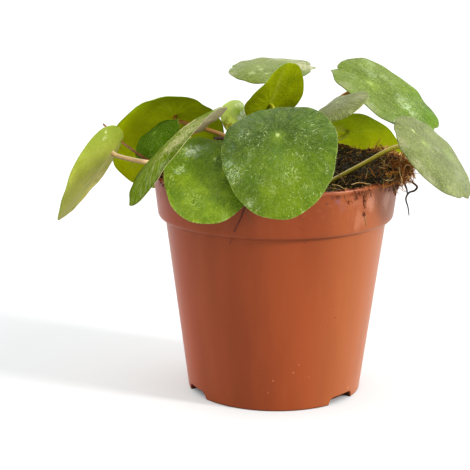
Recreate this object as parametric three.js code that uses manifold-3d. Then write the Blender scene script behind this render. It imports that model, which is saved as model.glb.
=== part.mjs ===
// Young pilea in a 12 cm round nursery pot: millimetres, +Z up.
// The plant is worked out in the pot's own frame, with the pot's axis on X = Y = 0 and its foot on Z = 0.
// At the end the whole group is shifted so that the origin is the middle of its lowest face.

import * as THREE from "three";
import { mergeVertices } from "three/addons/utils/BufferGeometryUtils.js";
import Module from "manifold-3d";

const wasm = await Module();
wasm.setup();

// Clearance between pieces that touch on the real plant.
const GAP = 0.3;

// Pot: a thin moulded shell with a deep collar at the rim and a foot ring notched in three places.
const POT_HEIGHT = 109;
const POT_WALL = 1.2;
const RIM_RADIUS = 60;
const COLLAR_LOW_Z = 86.8;
const COLLAR_LOW_RADIUS = 57.3;
const COLLAR_LIP = 1.8;
const EDGE_BEVEL = 0.5;
const BODY_TOP_RADIUS = 54.1;
const FOOT_RADIUS = 42.7;
const FOOT_THICKNESS = 2;
const FLOOR_Z = 5;
const NOTCH_HEIGHT = 4.4;
const NOTCH_DEGREES = 27;
const NOTCH_COUNT = 3;
const NOTCH_FIRST_FACING = -37;
const POT_SIDES = 60;
const DRAIN_HOLES = 6;
const DRAIN_RADIUS = 3.5;
const DRAIN_RING_RADIUS = 28;
const DRAIN_SIDES = 12;

// Potting mix: low at the front of the pot and heaped at the back, highest on the line x = MIX_HEAP_X and
// lower to both sides of it. MIX_TUCK is how far below its brow it has turned back in to the wall.
const MIX_SIDES = 36;
const MIX_RING_SHARES = [0.22, 0.42, 0.6, 0.76, 0.89, 0.97];
const MIX_FRONT_LEVEL = 104.5;
const MIX_BACK_RISE = 9.5;
const MIX_RISE_FROM_Y = -20;
const MIX_RISE_TO_Y = 50;
const MIX_HEAP_X = 25;
const MIX_HEAP_HALF_WIDTH = 10;
const MIX_SIDE_FALL = 4;
const MIX_LUMP = 0.5;
const MIX_BROW = 0.7;
const MIX_TUCK = 3;

// Clump of fibre that hangs over the rim at the right: its direction and half width in degrees, how round
// it is at its sides, where it rises from the mix and how far it reaches out and down.
const CLUMP_FACING = -4;
const CLUMP_HALF_WIDTH = 44;
const CLUMP_FULLNESS = 0.7;
const CLUMP_LEVEL = 113.8;
const CLUMP_INNER_RADIUS = 35;
const CLUMP_OUTER_RADIUS = 56;
const CLUMP_REACH = 5.6;
const CLUMP_DROP = 6.5;

// Down the outside of the clump: share of its reach lost, share of its drop gained, and the fall beside it.
const CLUMP_STEPS = [[0, 0, 0], [0.1, 0.6, 1], [0.4, 1, 2]];

// Thin roots that hang from the clump, each as the way of its middle.
const ROOT_RADIUS = 0.5;
const ROOTS = [
  [[61.5, 2, 106], [64, 2, 104], [67, 2, 102.5], [69.3, 2, 100.3], [68.3, 2, 98.6], [65.4, 2, 97.4],
    [64, 2, 94.5], [65.2, 2, 90], [65.8, 2, 86]],
  [[62, -3, 106.5], [62.5, -3.5, 103], [63.5, -4, 100.4], [64, -4, 97.5]],
];

// Central stem, rooted in the potting mix.
const STEM = { x: -2, y: -6, radius: 4, bottom: 92, top: 121 };
const STEM_SIDES = 14;
const STEM_RINGS = 7;
const STEM_FOOT_SHARE = 0.7;
const STEM_WAIST_SHARE = 0.88;
const STEM_TIP_SHARE = 0.6;
const STEM_TIP_ROUND = 1;

// Stalk of a fallen leaf, dried thin and brown.
const DRY_STALK = {
  height: 112,
  radius: 0.6,
  via: [[-30, 6, 110.5], [-60, 7, 111], [-67.8, 9, 115], [-72.5, 18, 116.4], [-77.2, 27, 117.9],
    [-87, 33.5, 126]],
};

// Leaf blades and stalks.
const BLADE_THICKNESS = 0.8;
const BLADE_SIDES = 28;
const BLADE_RINGS = 4;
const STALK_SIDES = 6;
const STALK_STEPS = 10;
const STALK_SEAT = 2.5;
const JOINT_SHARE = 0.32;
const FOLD_ROUND = 1.5;

// Each leaf: where its stalk meets the blade (at), the compass direction and lean of its upper face
// (facing from +X towards +Y, tilt from upright), the turn of its tip about that face's normal, its length
// and width, how far the blade has curled down by its tip, base, left and right edges (droop, degrees),
// how far its outline leans from an ellipse to a rounded triangle (lobe), the wave of its edge (height,
// count, phase) and the way of its stalk from the stem (stalk). Where a leaf differs from the others, how
// near its base the stalk joins it (joint) and how far it is folded up along its middle (fold, degrees).
const LEAVES = [
  { name: "leaf_far_left", at: [-80.4, 4, 116.6], facing: 167, tilt: 57, turn: 42, joint: 0.6, fold: 8,
    length: 52, width: 50, droop: [1, -2, -23, 16], lobe: 0.04, wave: [0, 5, 0],
    stalk: { height: 110, radius: 1.15, via: [[-30, 1, 110], [-62, 5, 111.3]] } },
  { name: "leaf_back_left", at: [-51, 50, 128], facing: 90, tilt: 51, turn: 33,
    length: 66, width: 63, droop: [50, 31, 46, 34], lobe: 0.03, wave: [0, 6, 40],
    stalk: { height: 113, radius: 1.1, via: [[-18, 16, 120], [-43, 41, 125]] } },
  { name: "leaf_inner_left", at: [-60.3, 24, 123], facing: -151, tilt: 40, turn: 60,
    length: 29, width: 28, droop: [15, 15, 15, 15], lobe: 0.04, wave: [0.4, 5, 0],
    stalk: { height: 117, radius: 0.9, via: [[-28, 9, 117]] } },
  { name: "leaf_left", at: [-45.5, -22, 131], facing: 165, tilt: 40, turn: 52,
    length: 65, width: 63, droop: [39, 31, 16, 0], lobe: 0.05, wave: [0, 5, 90],
    stalk: { height: 115, radius: 1.15, via: [[-18, -14, 118]] } },
  { name: "leaf_front_left", at: [-29, -46, 122], facing: -94, tilt: 35, turn: -8,
    length: 49, width: 47, droop: [22, 21, 11, -3], lobe: 0.08, wave: [0, 5, 200],
    stalk: { height: 111, radius: 1.1, via: [[-14, -26, 117]] } },
  { name: "leaf_front", at: [-1, -57, 135], facing: -106, tilt: 44, turn: 12,
    length: 57, width: 55, droop: [35, 20, 16, 12], lobe: 0.06, wave: [0.3, 6, 0],
    stalk: { height: 114, radius: 1.15, via: [[0, -30, 128]] } },
  { name: "leaf_centre_upright", at: [-3.5, -8, 142], facing: 132, tilt: 61, turn: 194,
    length: 33, width: 32, droop: [2, 16, 8, -4], lobe: 0.05, wave: [1.8, 3, 84],
    stalk: { height: 120, radius: 0.9, via: [[-1, -11, 131]] } },
  { name: "leaf_back_top", at: [-9, 26, 156], facing: -98, tilt: 9, turn: 86,
    length: 42, width: 41, droop: [0, 10, 3, 14], lobe: 0.02, wave: [0.3, 5, 0],
    stalk: { height: 116, radius: 1, via: [[-5, 12, 136]] } },
  { name: "leaf_young", at: [-20, -10, 138.8], facing: -62, tilt: 80, turn: 17,
    length: 18, width: 16, droop: [50, 50, 40, 40], lobe: 0.04, wave: [0.2, 4, 0],
    stalk: { height: 119, radius: 0.7, via: [[-10, -7, 126], [-19, -6, 135]] } },
  { name: "leaf_right", at: [46, 14, 149.5], facing: -42, tilt: 38, turn: 23,
    length: 58, width: 56, droop: [0, 21, 6, -14], lobe: 0.05, wave: [0.3, 7, 0],
    stalk: { height: 112, radius: 1.15, via: [[16, 0, 130], [33, 7, 144.5]] } },
  { name: "leaf_far_right", at: [67.5, -28, 127], facing: -28, tilt: 44, turn: 16,
    length: 49, width: 47, droop: [9, 6, 2, 15], lobe: 0.01, wave: [0, 5, 0],
    stalk: { foot: [14, -20, 100.5], radius: 1.2,
      via: [[28, -20, 108.6], [40, -20, 115.2], [56, -24.5, 124.6]] } },
  { name: "leaf_inner_right", at: [28, -18, 144.3], facing: 191, tilt: 29, turn: 94,
    length: 29, width: 28, droop: [17, 4, 16, 15], lobe: 0.03, wave: [0.3, 5, 0],
    stalk: { height: 117, radius: 0.9, via: [[15, -12, 131]] } },
  { name: "leaf_back_right", at: [39, 54, 120], facing: 67, tilt: 45, turn: -42,
    length: 50, width: 48, droop: [18, 50, 12, 10], lobe: 0.06, wave: [0.3, 5, 0],
    stalk: { height: 114, radius: 1.05, via: [[18, 20, 117], [34, 46, 117]] } },
];

const radians = THREE.MathUtils.degToRad;

// Materials, in the colours of the real piece.
const potMaterial = new THREE.MeshStandardMaterial({ color: 0xb2603f, roughness: 0.45 });
const mixMaterial = new THREE.MeshStandardMaterial({ color: 0x2a1b10, roughness: 0.95 });
const stemMaterial = new THREE.MeshStandardMaterial({ color: 0x6d5233, roughness: 0.8 });
const leafMaterial = new THREE.MeshStandardMaterial({ color: 0x5f8a1e, roughness: 0.4 });
const dryMaterial = new THREE.MeshStandardMaterial({ color: 0x8a5a30, roughness: 0.8 });

const plant = new THREE.Group();

function addPiece(name, solid, material) {
  const mesh = new THREE.Mesh(geometryOf(solid), material);
  mesh.name = name;
  plant.add(mesh);
}

// Solids are joined and cut as manifolds.
function solidOf(geometry) {
  const bare = geometry.clone();
  bare.deleteAttribute("normal");
  bare.deleteAttribute("uv");
  const merged = mergeVertices(bare, 1e-3);
  return new wasm.Manifold(
    new wasm.Mesh({
      numProp: 3,
      vertProperties: new Float32Array(merged.attributes.position.array),
      triVerts: new Uint32Array(merged.index.array),
    }),
  );
}

function geometryOf(solid) {
  const mesh = solid.getMesh();
  const geometry = new THREE.BufferGeometry();
  geometry.setAttribute("position", new THREE.BufferAttribute(new Float32Array(mesh.vertProperties), 3));
  geometry.setIndex(new THREE.BufferAttribute(new Uint32Array(mesh.triVerts), 1));
  geometry.computeVertexNormals();
  return geometry;
}

function lathe(profile, sides) {
  const points = profile.map(([radius, height]) => new THREE.Vector2(radius, height));
  return new THREE.LatheGeometry(points, sides).rotateX(Math.PI / 2);
}

// A round rod of even thickness along a smooth way through the points.
function rod(points, radius, sides, steps) {
  const way = new THREE.CatmullRomCurve3(points.map((p) => new THREE.Vector3(...p)), false, "centripetal");
  const section = new THREE.Shape(
    Array.from({ length: sides }, (_, i) => {
      const angle = (2 * Math.PI * i) / sides;
      return new THREE.Vector2(radius * Math.cos(angle), radius * Math.sin(angle));
    }),
  );
  return new THREE.ExtrudeGeometry(section, { steps, extrudePath: way });
}

// Pot wall, seen in section from the middle of the floor round the outside and back down the inside.
function bodyRadius(z) {
  return THREE.MathUtils.lerp(FOOT_RADIUS, BODY_TOP_RADIUS, z / COLLAR_LOW_Z);
}

function collarRadius(z) {
  const share = (z - COLLAR_LOW_Z) / (POT_HEIGHT - COLLAR_LOW_Z);
  return THREE.MathUtils.lerp(COLLAR_LOW_RADIUS, RIM_RADIUS, share);
}

const potProfile = [
  [0, FLOOR_Z - POT_WALL],
  [bodyRadius(0) - FOOT_THICKNESS, FLOOR_Z - POT_WALL],
  [bodyRadius(0) - FOOT_THICKNESS, 0],
  [bodyRadius(0), 0],
  [BODY_TOP_RADIUS, COLLAR_LOW_Z],
  [COLLAR_LOW_RADIUS - COLLAR_LIP, COLLAR_LOW_Z],
  [COLLAR_LOW_RADIUS - EDGE_BEVEL, COLLAR_LOW_Z + EDGE_BEVEL],
  [collarRadius(COLLAR_LOW_Z + COLLAR_LIP), COLLAR_LOW_Z + COLLAR_LIP],
  [RIM_RADIUS, POT_HEIGHT - EDGE_BEVEL],
  [RIM_RADIUS - EDGE_BEVEL, POT_HEIGHT],
  [RIM_RADIUS - POT_WALL, POT_HEIGHT],
  [collarRadius(COLLAR_LOW_Z + COLLAR_LIP) - POT_WALL, COLLAR_LOW_Z + COLLAR_LIP],
  [BODY_TOP_RADIUS - POT_WALL, COLLAR_LOW_Z + COLLAR_LIP],
  [bodyRadius(FLOOR_Z) - POT_WALL, FLOOR_Z],
  [0, FLOOR_Z],
];

function potSolid() {
  let pot = solidOf(lathe(potProfile, POT_SIDES));
  const notchWidth = 2 * FOOT_RADIUS * Math.sin(radians(NOTCH_DEGREES / 2));
  for (let i = 0; i < NOTCH_COUNT; i += 1) {
    const notch = new THREE.BoxGeometry(4 * FOOT_THICKNESS, notchWidth, 2 * NOTCH_HEIGHT);
    notch.translate(FOOT_RADIUS - FOOT_THICKNESS, 0, 0);
    notch.rotateZ(radians(NOTCH_FIRST_FACING + (360 * i) / NOTCH_COUNT));
    pot = pot.subtract(solidOf(notch));
  }
  for (let i = 0; i < DRAIN_HOLES; i += 1) {
    const hole = new THREE.CylinderGeometry(DRAIN_RADIUS, DRAIN_RADIUS, 4 * POT_WALL, DRAIN_SIDES);
    hole.rotateX(Math.PI / 2);
    hole.translate(DRAIN_RING_RADIUS, 0, FLOOR_Z);
    hole.rotateZ((2 * Math.PI * i) / DRAIN_HOLES);
    pot = pot.subtract(solidOf(hole));
  }
  return pot;
}

// The rim with its clearance, which the mix hangs over.
function rimClearance() {
  const low = POT_HEIGHT - 2 * CLUMP_DROP;
  const inside = POT_WALL + GAP;
  const profile = [
    [collarRadius(low) - inside, low],
    [RIM_RADIUS + GAP, low],
    [RIM_RADIUS + GAP, POT_HEIGHT + GAP],
    [RIM_RADIUS - inside, POT_HEIGHT + GAP],
    [collarRadius(low) - inside, low],
  ];
  return solidOf(lathe(profile, POT_SIDES));
}

// How strongly the mix hangs over the rim, from 1 in the middle of the clump to 0 beside it.
function clumpShare(angle) {
  const turned = angle - radians(CLUMP_FACING) + Math.PI;
  const away = THREE.MathUtils.euclideanModulo(turned, 2 * Math.PI) - Math.PI;
  const share = Math.abs(away) / radians(CLUMP_HALF_WIDTH);
  return share < 1 ? Math.cos((share * Math.PI) / 2) ** CLUMP_FULLNESS : 0;
}

// Low lumps of the surface, some 45 mm apart with smaller ones between them.
function lumps(x, y) {
  return Math.sin(x / 7 + 2) * Math.cos(y / 8) + 0.6 * Math.sin(x / 4 - y / 5);
}

function mixHeight(x, y) {
  const { lerp, smoothstep } = THREE.MathUtils;
  const aside = smoothstep(Math.abs(x - MIX_HEAP_X), MIX_HEAP_HALF_WIDTH, RIM_RADIUS);
  const rise = MIX_BACK_RISE - MIX_SIDE_FALL * aside;
  const level = MIX_FRONT_LEVEL + rise * smoothstep(y, MIX_RISE_FROM_Y, MIX_RISE_TO_Y);
  const outward = smoothstep(Math.hypot(x, y), CLUMP_INNER_RADIUS, CLUMP_OUTER_RADIUS);
  const clump = Math.min(1, 3 * clumpShare(Math.atan2(y, x))) * outward;
  return lerp(level, CLUMP_LEVEL, clump) + MIX_LUMP * lumps(x, y);
}

// Rings over the top of the mix, round its brow, down the wall of the pot and in along the floor.
function mixSolid() {
  const inside = POT_WALL + GAP;
  const shelf = COLLAR_LOW_Z + COLLAR_LIP;
  const wallRadius = (z) => collarRadius(Math.min(z, POT_HEIGHT)) - inside;
  const edgeRadius = (angle) => wallRadius(POT_HEIGHT) + CLUMP_REACH * clumpShare(angle);
  const topHeight = (radius, angle) => mixHeight(radius * Math.cos(angle), radius * Math.sin(angle));
  const brow = (angle) => topHeight(edgeRadius(angle), angle) - MIX_BROW;
  // A ring from its radius and height in each direction.
  const ring = (radius, height) =>
    Array.from({ length: MIX_SIDES }, (_, i) => {
      const angle = (2 * Math.PI * i) / MIX_SIDES;
      const r = radius(angle);
      return [r * Math.cos(angle), r * Math.sin(angle), height(angle, r)];
    });
  const rings = MIX_RING_SHARES.map((share) =>
    ring((angle) => share * edgeRadius(angle), (angle, radius) => topHeight(radius, angle)),
  );
  for (const [lost, drop, fall] of CLUMP_STEPS) {
    const radius = (angle) => edgeRadius(angle) - lost * CLUMP_REACH * clumpShare(angle);
    rings.push(ring(radius, (angle) => brow(angle) - fall - drop * CLUMP_DROP * clumpShare(angle)));
  }
  const tuck = (angle) => brow(angle) - MIX_TUCK - CLUMP_DROP * clumpShare(angle);
  rings.push(ring((angle) => wallRadius(tuck(angle)), tuck));
  for (const [radius, height] of [
    [wallRadius(shelf), shelf + GAP],
    [BODY_TOP_RADIUS - inside, shelf + GAP],
    [bodyRadius(FLOOR_Z) - inside, FLOOR_Z + GAP],
  ]) {
    rings.push(ring(() => radius, () => height));
  }
  return ringSolid(rings, [0, 0, mixHeight(0, 0)], [0, 0, FLOOR_Z + GAP]);
}

// A closed surface through rings of equal count, capped by a fan at each end.
function ringSolid(rings, first, last) {
  const count = rings[0].length;
  const positions = [first, ...rings.flat(), last].flat();
  const lastIndex = 1 + rings.length * count;
  const index = [];
  const v = (r, i) => 1 + r * count + (i % count);
  for (let i = 0; i < count; i += 1) {
    index.push(0, v(0, i), v(0, i + 1));
    for (let r = 0; r + 1 < rings.length; r += 1) {
      index.push(v(r, i), v(r + 1, i), v(r + 1, i + 1));
      index.push(v(r, i), v(r + 1, i + 1), v(r, i + 1));
    }
    index.push(lastIndex, v(rings.length - 1, i + 1), v(rings.length - 1, i));
  }
  const geometry = new THREE.BufferGeometry();
  geometry.setAttribute("position", new THREE.Float32BufferAttribute(positions, 3));
  geometry.setIndex(index);
  return solidOf(geometry);
}

// Stem: a short rod with the swollen rings of old leaf scars and a blunt tip, grown by extra all round.
function stemSolid(extra) {
  const height = STEM.top - STEM.bottom;
  const profile = [[0, -extra], [STEM.radius * STEM_FOOT_SHARE + extra, -extra]];
  for (let i = 1; i <= STEM_RINGS; i += 1) {
    const swell = i % 2 ? 1 : STEM_WAIST_SHARE;
    profile.push([STEM.radius * swell + extra, (height * i) / (STEM_RINGS + 1)]);
  }
  profile.push([STEM.radius * STEM_TIP_SHARE + extra, height - STEM_TIP_ROUND + extra]);
  profile.push([0, height + extra]);
  return solidOf(lathe(profile, STEM_SIDES).translate(STEM.x, STEM.y, STEM.bottom));
}

// Blade: distance of the outline from the stalk's joint, in each direction round it.
function outlineRadius(leaf, angle) {
  const a = leaf.length / 2;
  const b = leaf.width / 2;
  const off = (leaf.joint ?? JOINT_SHARE) * a;
  const c = Math.cos(angle);
  const s = Math.sin(angle);
  const A = (c / a) ** 2 + (s / b) ** 2;
  const B = (-2 * off * c) / a ** 2;
  const C = (off / a) ** 2 - 1;
  const ellipse = (-B + Math.sqrt(B * B - 4 * A * C)) / (2 * A);
  return ellipse * (1 + leaf.lobe * Math.cos(3 * angle));
}

// A point of the blade's middle surface: share runs from the joint (0) to the edge (1).
function bladePoint(leaf, share, angle) {
  const c = Math.cos(angle);
  const s = Math.sin(angle);
  const reach = outlineRadius(leaf, angle);
  const [tip, base, left, right] = leaf.droop;
  const curl = radians((c > 0 ? tip : base) * c * c + (s > 0 ? left : right) * s * s) || 1e-3;
  const bend = curl / reach;
  const [height, count, phase] = leaf.wave;
  const wave = height * share ** 3 * Math.sin(count * angle + radians(phase));
  const x = (Math.sin(curl * share) / bend) * c;
  const y = (Math.sin(curl * share) / bend) * s;
  const z = (Math.cos(curl * share) - 1) / bend + wave;
  const fold = radians(leaf.fold ?? 0);
  const lift = Math.sin(fold) * (Math.hypot(y, FOLD_ROUND) - FOLD_ROUND);
  return new THREE.Vector3(x, y * Math.cos(fold), z + lift);
}

function bladeNormal(leaf, share, angle) {
  const step = 0.01;
  const across = bladePoint(leaf, share, angle + step).sub(bladePoint(leaf, share, angle - step));
  const along = bladePoint(leaf, share + step, angle).sub(bladePoint(leaf, share - step, angle));
  return along.cross(across).normalize();
}

function bladeGeometry(leaf) {
  const half = BLADE_THICKNESS / 2;
  const face = (side) =>
    Array.from({ length: BLADE_RINGS }, (_, r) =>
      Array.from({ length: BLADE_SIDES }, (__, i) => {
        const share = (r + 1) / BLADE_RINGS;
        const angle = (2 * Math.PI * i) / BLADE_SIDES;
        const normal = bladeNormal(leaf, share, angle);
        return bladePoint(leaf, share, angle).addScaledVector(normal, side * half).toArray();
      }),
    );
  return bladeShell(face(1), face(-1), half);
}

// Upper and lower face split into triangles alike, joined round the edge.
function bladeShell(upper, lower, half) {
  const count = BLADE_SIDES;
  const positions = [[0, 0, half], ...upper.flat(), [0, 0, -half], ...lower.flat()].flat();
  const under = 1 + BLADE_RINGS * count;
  const index = [];
  const v = (r, i) => 1 + r * count + (i % count);
  const triangle = (a, b, c) => index.push(a, b, c, under + a, under + c, under + b);
  for (let i = 0; i < count; i += 1) {
    triangle(0, v(0, i), v(0, i + 1));
    for (let r = 0; r + 1 < BLADE_RINGS; r += 1) {
      triangle(v(r, i), v(r + 1, i), v(r + 1, i + 1));
      triangle(v(r, i), v(r + 1, i + 1), v(r, i + 1));
    }
    const edge = v(BLADE_RINGS - 1, i);
    const next = v(BLADE_RINGS - 1, i + 1);
    index.push(edge, under + edge, under + next, edge, under + next, next);
  }
  const geometry = new THREE.BufferGeometry();
  geometry.setAttribute("position", new THREE.Float32BufferAttribute(positions, 3));
  geometry.setIndex(index);
  return geometry;
}

// Turns and carries a blade's own axes to where the leaf hangs.
function leafPlace(leaf) {
  const turn = new THREE.Matrix4().makeRotationZ(radians(leaf.turn));
  const tilt = new THREE.Matrix4().makeRotationY(radians(leaf.tilt));
  const facing = new THREE.Matrix4().makeRotationZ(radians(leaf.facing));
  return facing.multiply(tilt).multiply(turn).setPosition(...leaf.at);
}

// Way of a leaf's stalk: from the stem, or its own foot in the mix, square on to the underside of the blade.
function stalkWay(leaf) {
  const seat = new THREE.Vector3(0, 0, -STALK_SEAT).applyMatrix4(leafPlace(leaf)).toArray();
  return [leaf.stalk.foot ?? [STEM.x, STEM.y, leaf.stalk.height], ...leaf.stalk.via, seat, leaf.at];
}

function leafSolid(leaf) {
  const stalk = solidOf(rod(stalkWay(leaf), leaf.stalk.radius, STALK_SIDES, STALK_STEPS));
  const blade = solidOf(bladeGeometry(leaf).applyMatrix4(leafPlace(leaf)));
  return stalk.subtract(stemHole).add(blade);
}

const stemHole = stemSolid(GAP);

// The mix has plain holes for what stands in it, and its hanging roots grow out of the clump.
function rootedMixSolid() {
  let mix = mixSolid().subtract(rimClearance());
  for (const way of ROOTS) mix = mix.add(solidOf(rod(way, ROOT_RADIUS, STALK_SIDES, 2 * way.length)));
  mix = mix.subtract(stemHole);
  for (const leaf of LEAVES) {
    if (!leaf.stalk.foot) continue;
    mix = mix.subtract(solidOf(rod(stalkWay(leaf), leaf.stalk.radius + GAP, STALK_SIDES, STALK_STEPS)));
  }
  return mix;
}

function dryStalkSolid() {
  const way = [[STEM.x, STEM.y, DRY_STALK.height], ...DRY_STALK.via];
  return solidOf(rod(way, DRY_STALK.radius, STALK_SIDES, STALK_STEPS)).subtract(stemHole);
}

addPiece("pot", potSolid(), potMaterial);
addPiece("potting_mix", rootedMixSolid(), mixMaterial);
addPiece("stem", stemSolid(0), stemMaterial);
addPiece("dry_stalk", dryStalkSolid(), dryMaterial);
for (const leaf of LEAVES) addPiece(leaf.name, leafSolid(leaf), leafMaterial);

// Origin: the middle of the lowest face of the whole plant and pot.
const extent = new THREE.Box3().setFromObject(plant);
const middle = extent.getCenter(new THREE.Vector3());
plant.position.set(-middle.x, -middle.y, -extent.min.z);

export default plant;
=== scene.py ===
# Potted pilea: the looks of the leaves, stalks, potting mix and nursery pot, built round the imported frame.
import math
import random

import bmesh
import bpy
import numpy as np
from mathutils import Matrix, Vector, noise


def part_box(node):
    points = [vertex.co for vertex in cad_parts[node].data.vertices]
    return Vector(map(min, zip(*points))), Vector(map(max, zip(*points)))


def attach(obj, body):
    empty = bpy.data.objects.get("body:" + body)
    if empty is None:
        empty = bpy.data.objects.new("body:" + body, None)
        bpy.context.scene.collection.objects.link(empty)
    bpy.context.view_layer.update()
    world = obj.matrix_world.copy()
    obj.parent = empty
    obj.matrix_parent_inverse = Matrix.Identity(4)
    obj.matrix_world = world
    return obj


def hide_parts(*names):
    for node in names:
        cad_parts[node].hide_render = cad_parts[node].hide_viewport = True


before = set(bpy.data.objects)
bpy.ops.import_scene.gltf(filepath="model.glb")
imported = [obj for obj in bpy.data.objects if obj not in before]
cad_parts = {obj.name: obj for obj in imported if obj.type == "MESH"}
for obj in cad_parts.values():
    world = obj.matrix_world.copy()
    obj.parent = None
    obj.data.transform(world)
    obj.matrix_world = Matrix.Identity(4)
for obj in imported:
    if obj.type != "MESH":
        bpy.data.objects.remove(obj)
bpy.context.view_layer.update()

MM = 0.001
POT_LOW, POT_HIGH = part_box("pot")
POT_AXIS = np.array([(POT_LOW.x + POT_HIGH.x) / 2, (POT_LOW.y + POT_HIGH.y) / 2, 0.0])

# Pot, in millimetres on its own axis.
POT_HEIGHT = 109.0
POT_WALL = 1.2
RIM_RADIUS = 60.0
COLLAR_LOW_Z = 86.8
COLLAR_LOW_RADIUS = 57.3
BODY_TOP_RADIUS = 54.1
FOOT_RADIUS = 42.7
FOOT_THICKNESS = 2.0
FLOOR_Z = 5.0
NOTCH_HEIGHT = 4.0
NOTCH_DEGREES = 23.5
NOTCH_FACINGS = (-153.5, -41.5, 83.0)
NOTCH_CORNER = 3.4
POCKET_RADIUS = 37.6
POCKET_WALL = 1.5
POCKET_OUTER_RADIUS = 41.2
DRAIN_HOLES = 6
DRAIN_RING_RADIUS = 28.0
DRAIN_RADIUS = 3.5
DRAIN_SIDES = 24

# Potting mix, on the same axis: its level, its heap at the back and the clump that hangs over the rim.
MIX_FRONT_LEVEL = 104.5
MIX_BACK_RISE = 9.5
MIX_HEAP_X = 25.0
MIX_SIDE_FALL = 4.0
MIX_LUMP = 0.5
MIX_GAP = 0.3
MIX_COARSE = 1.5
MIX_FINE = 0.55
MIX_EDGE_DROP = 0.7
MIX_BOTTOM = FLOOR_Z + 0.4
CLUMP_FACING = -4.0
CLUMP_HALF_WIDTH = 44.0
CLUMP_FRONT_WIDTH = 36.0
CLUMP_LEVEL = 113.8
CLUMP_REACH = 5.6
CLUMP_DROP = 4.6

# Stem, dried stalk and hanging roots, the last two as the ways of their middles.
STEM = dict(x=-2.0, y=-6.0, radius=4.0, bottom=92.0, top=121.0)
DRY_STALK_WAY = [(-2, -6, 112), (-30, 6, 110.5), (-60, 7, 111), (-67.8, 9, 115), (-72.5, 18, 116.4),
                 (-77.2, 27, 117.9), (-87, 33.5, 126)]
HANGING_ROOT_RADIUS = 0.58
HANGING_ROOTS = [
    [(61.5, 2, 106), (64, 2, 104), (67, 2, 102.5), (69.3, 2, 100.3), (68.3, 2, 98.6), (65.4, 2, 97.4),
     (64, 2, 94.5), (65.2, 2, 90), (65.8, 2, 86)],
    [(62, -3, 106.5), (62.5, -3.5, 103), (63.5, -4, 100.4), (64, -4, 97.5)],
]

# Leaf blades and their stalks.
BLADE_THICKNESS = 0.8
FOLD_ROUND = 1.5
STALK_SEAT = 2.5

# What a leaf has where its entry in LEAVES doesn't say otherwise. All lengths are in millimetres.
# at, facing, tilt and turn place the blade; length, width, droop, lobe, wave, joint and fold shape it, as
# they do its solid; way is the stalk's way from the stem, and radius its thickness. nicks are faults of the
# outline: direction, depth as a share of the reach, half width in degrees.
# upper and under are the dark and light green of its two faces; on leaves seen from beneath the under colours
# are also painted light shining through. tip is the same for the end of the upper face, which fade leads over
# to: direction, start, end. The underside's fade is painted shade over part of it: direction, start, end,
# strength, colour. stalk is the dark and light of the stalk; the light, or a third colour where one is given,
# is a painted highlight along its top. The stains of either face are real marks and, on some leaves, painted
# highlights, reflections and shade: x and y on the blade from the joint, radius, strength, colour. lace is
# dried limescale: x, y, radius, strength. ribs are strong veins of the underside: direction, width, strength.
# The rest are strengths: of streaks, grain, veins and so on, and lime_from is where the lime starts along x.
LEAF_USUAL = dict(
    joint=0.32, fold=0, nicks=(), upper=("55801f", "7f9c36"), fade=None, under=("8a9a3e", "a6b25c"),
    under_painted_shade=None, stalk=("8f7a3a", "a08c46"), streak=0.1, grain=0.34, mottling=0.0, veins=0.03, spokes=0.0,
    joint_glow=0.7, dust=0.16, stains_and_painted_light=(), lace=(), lime=0.5, lime_from=(-40, -39), lime_tint="ccd8a6",
    edge=0.3, edge_tint="a9ad74", ribs=(), under_stains_and_painted_light=(), gloss=0.4, specular=0.18, bloom=0.03, coat=0.0)
WORN_EDGE = dict(edge=0.7, edge_tint="5c5c34")
# Leaves seen from beneath: their bright under colours are partly their own pale green and partly painted
# light shining through the blade.
SEEN_FROM_BENEATH = dict(streak=0.02, specular=0.03, bloom=0.0)

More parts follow.
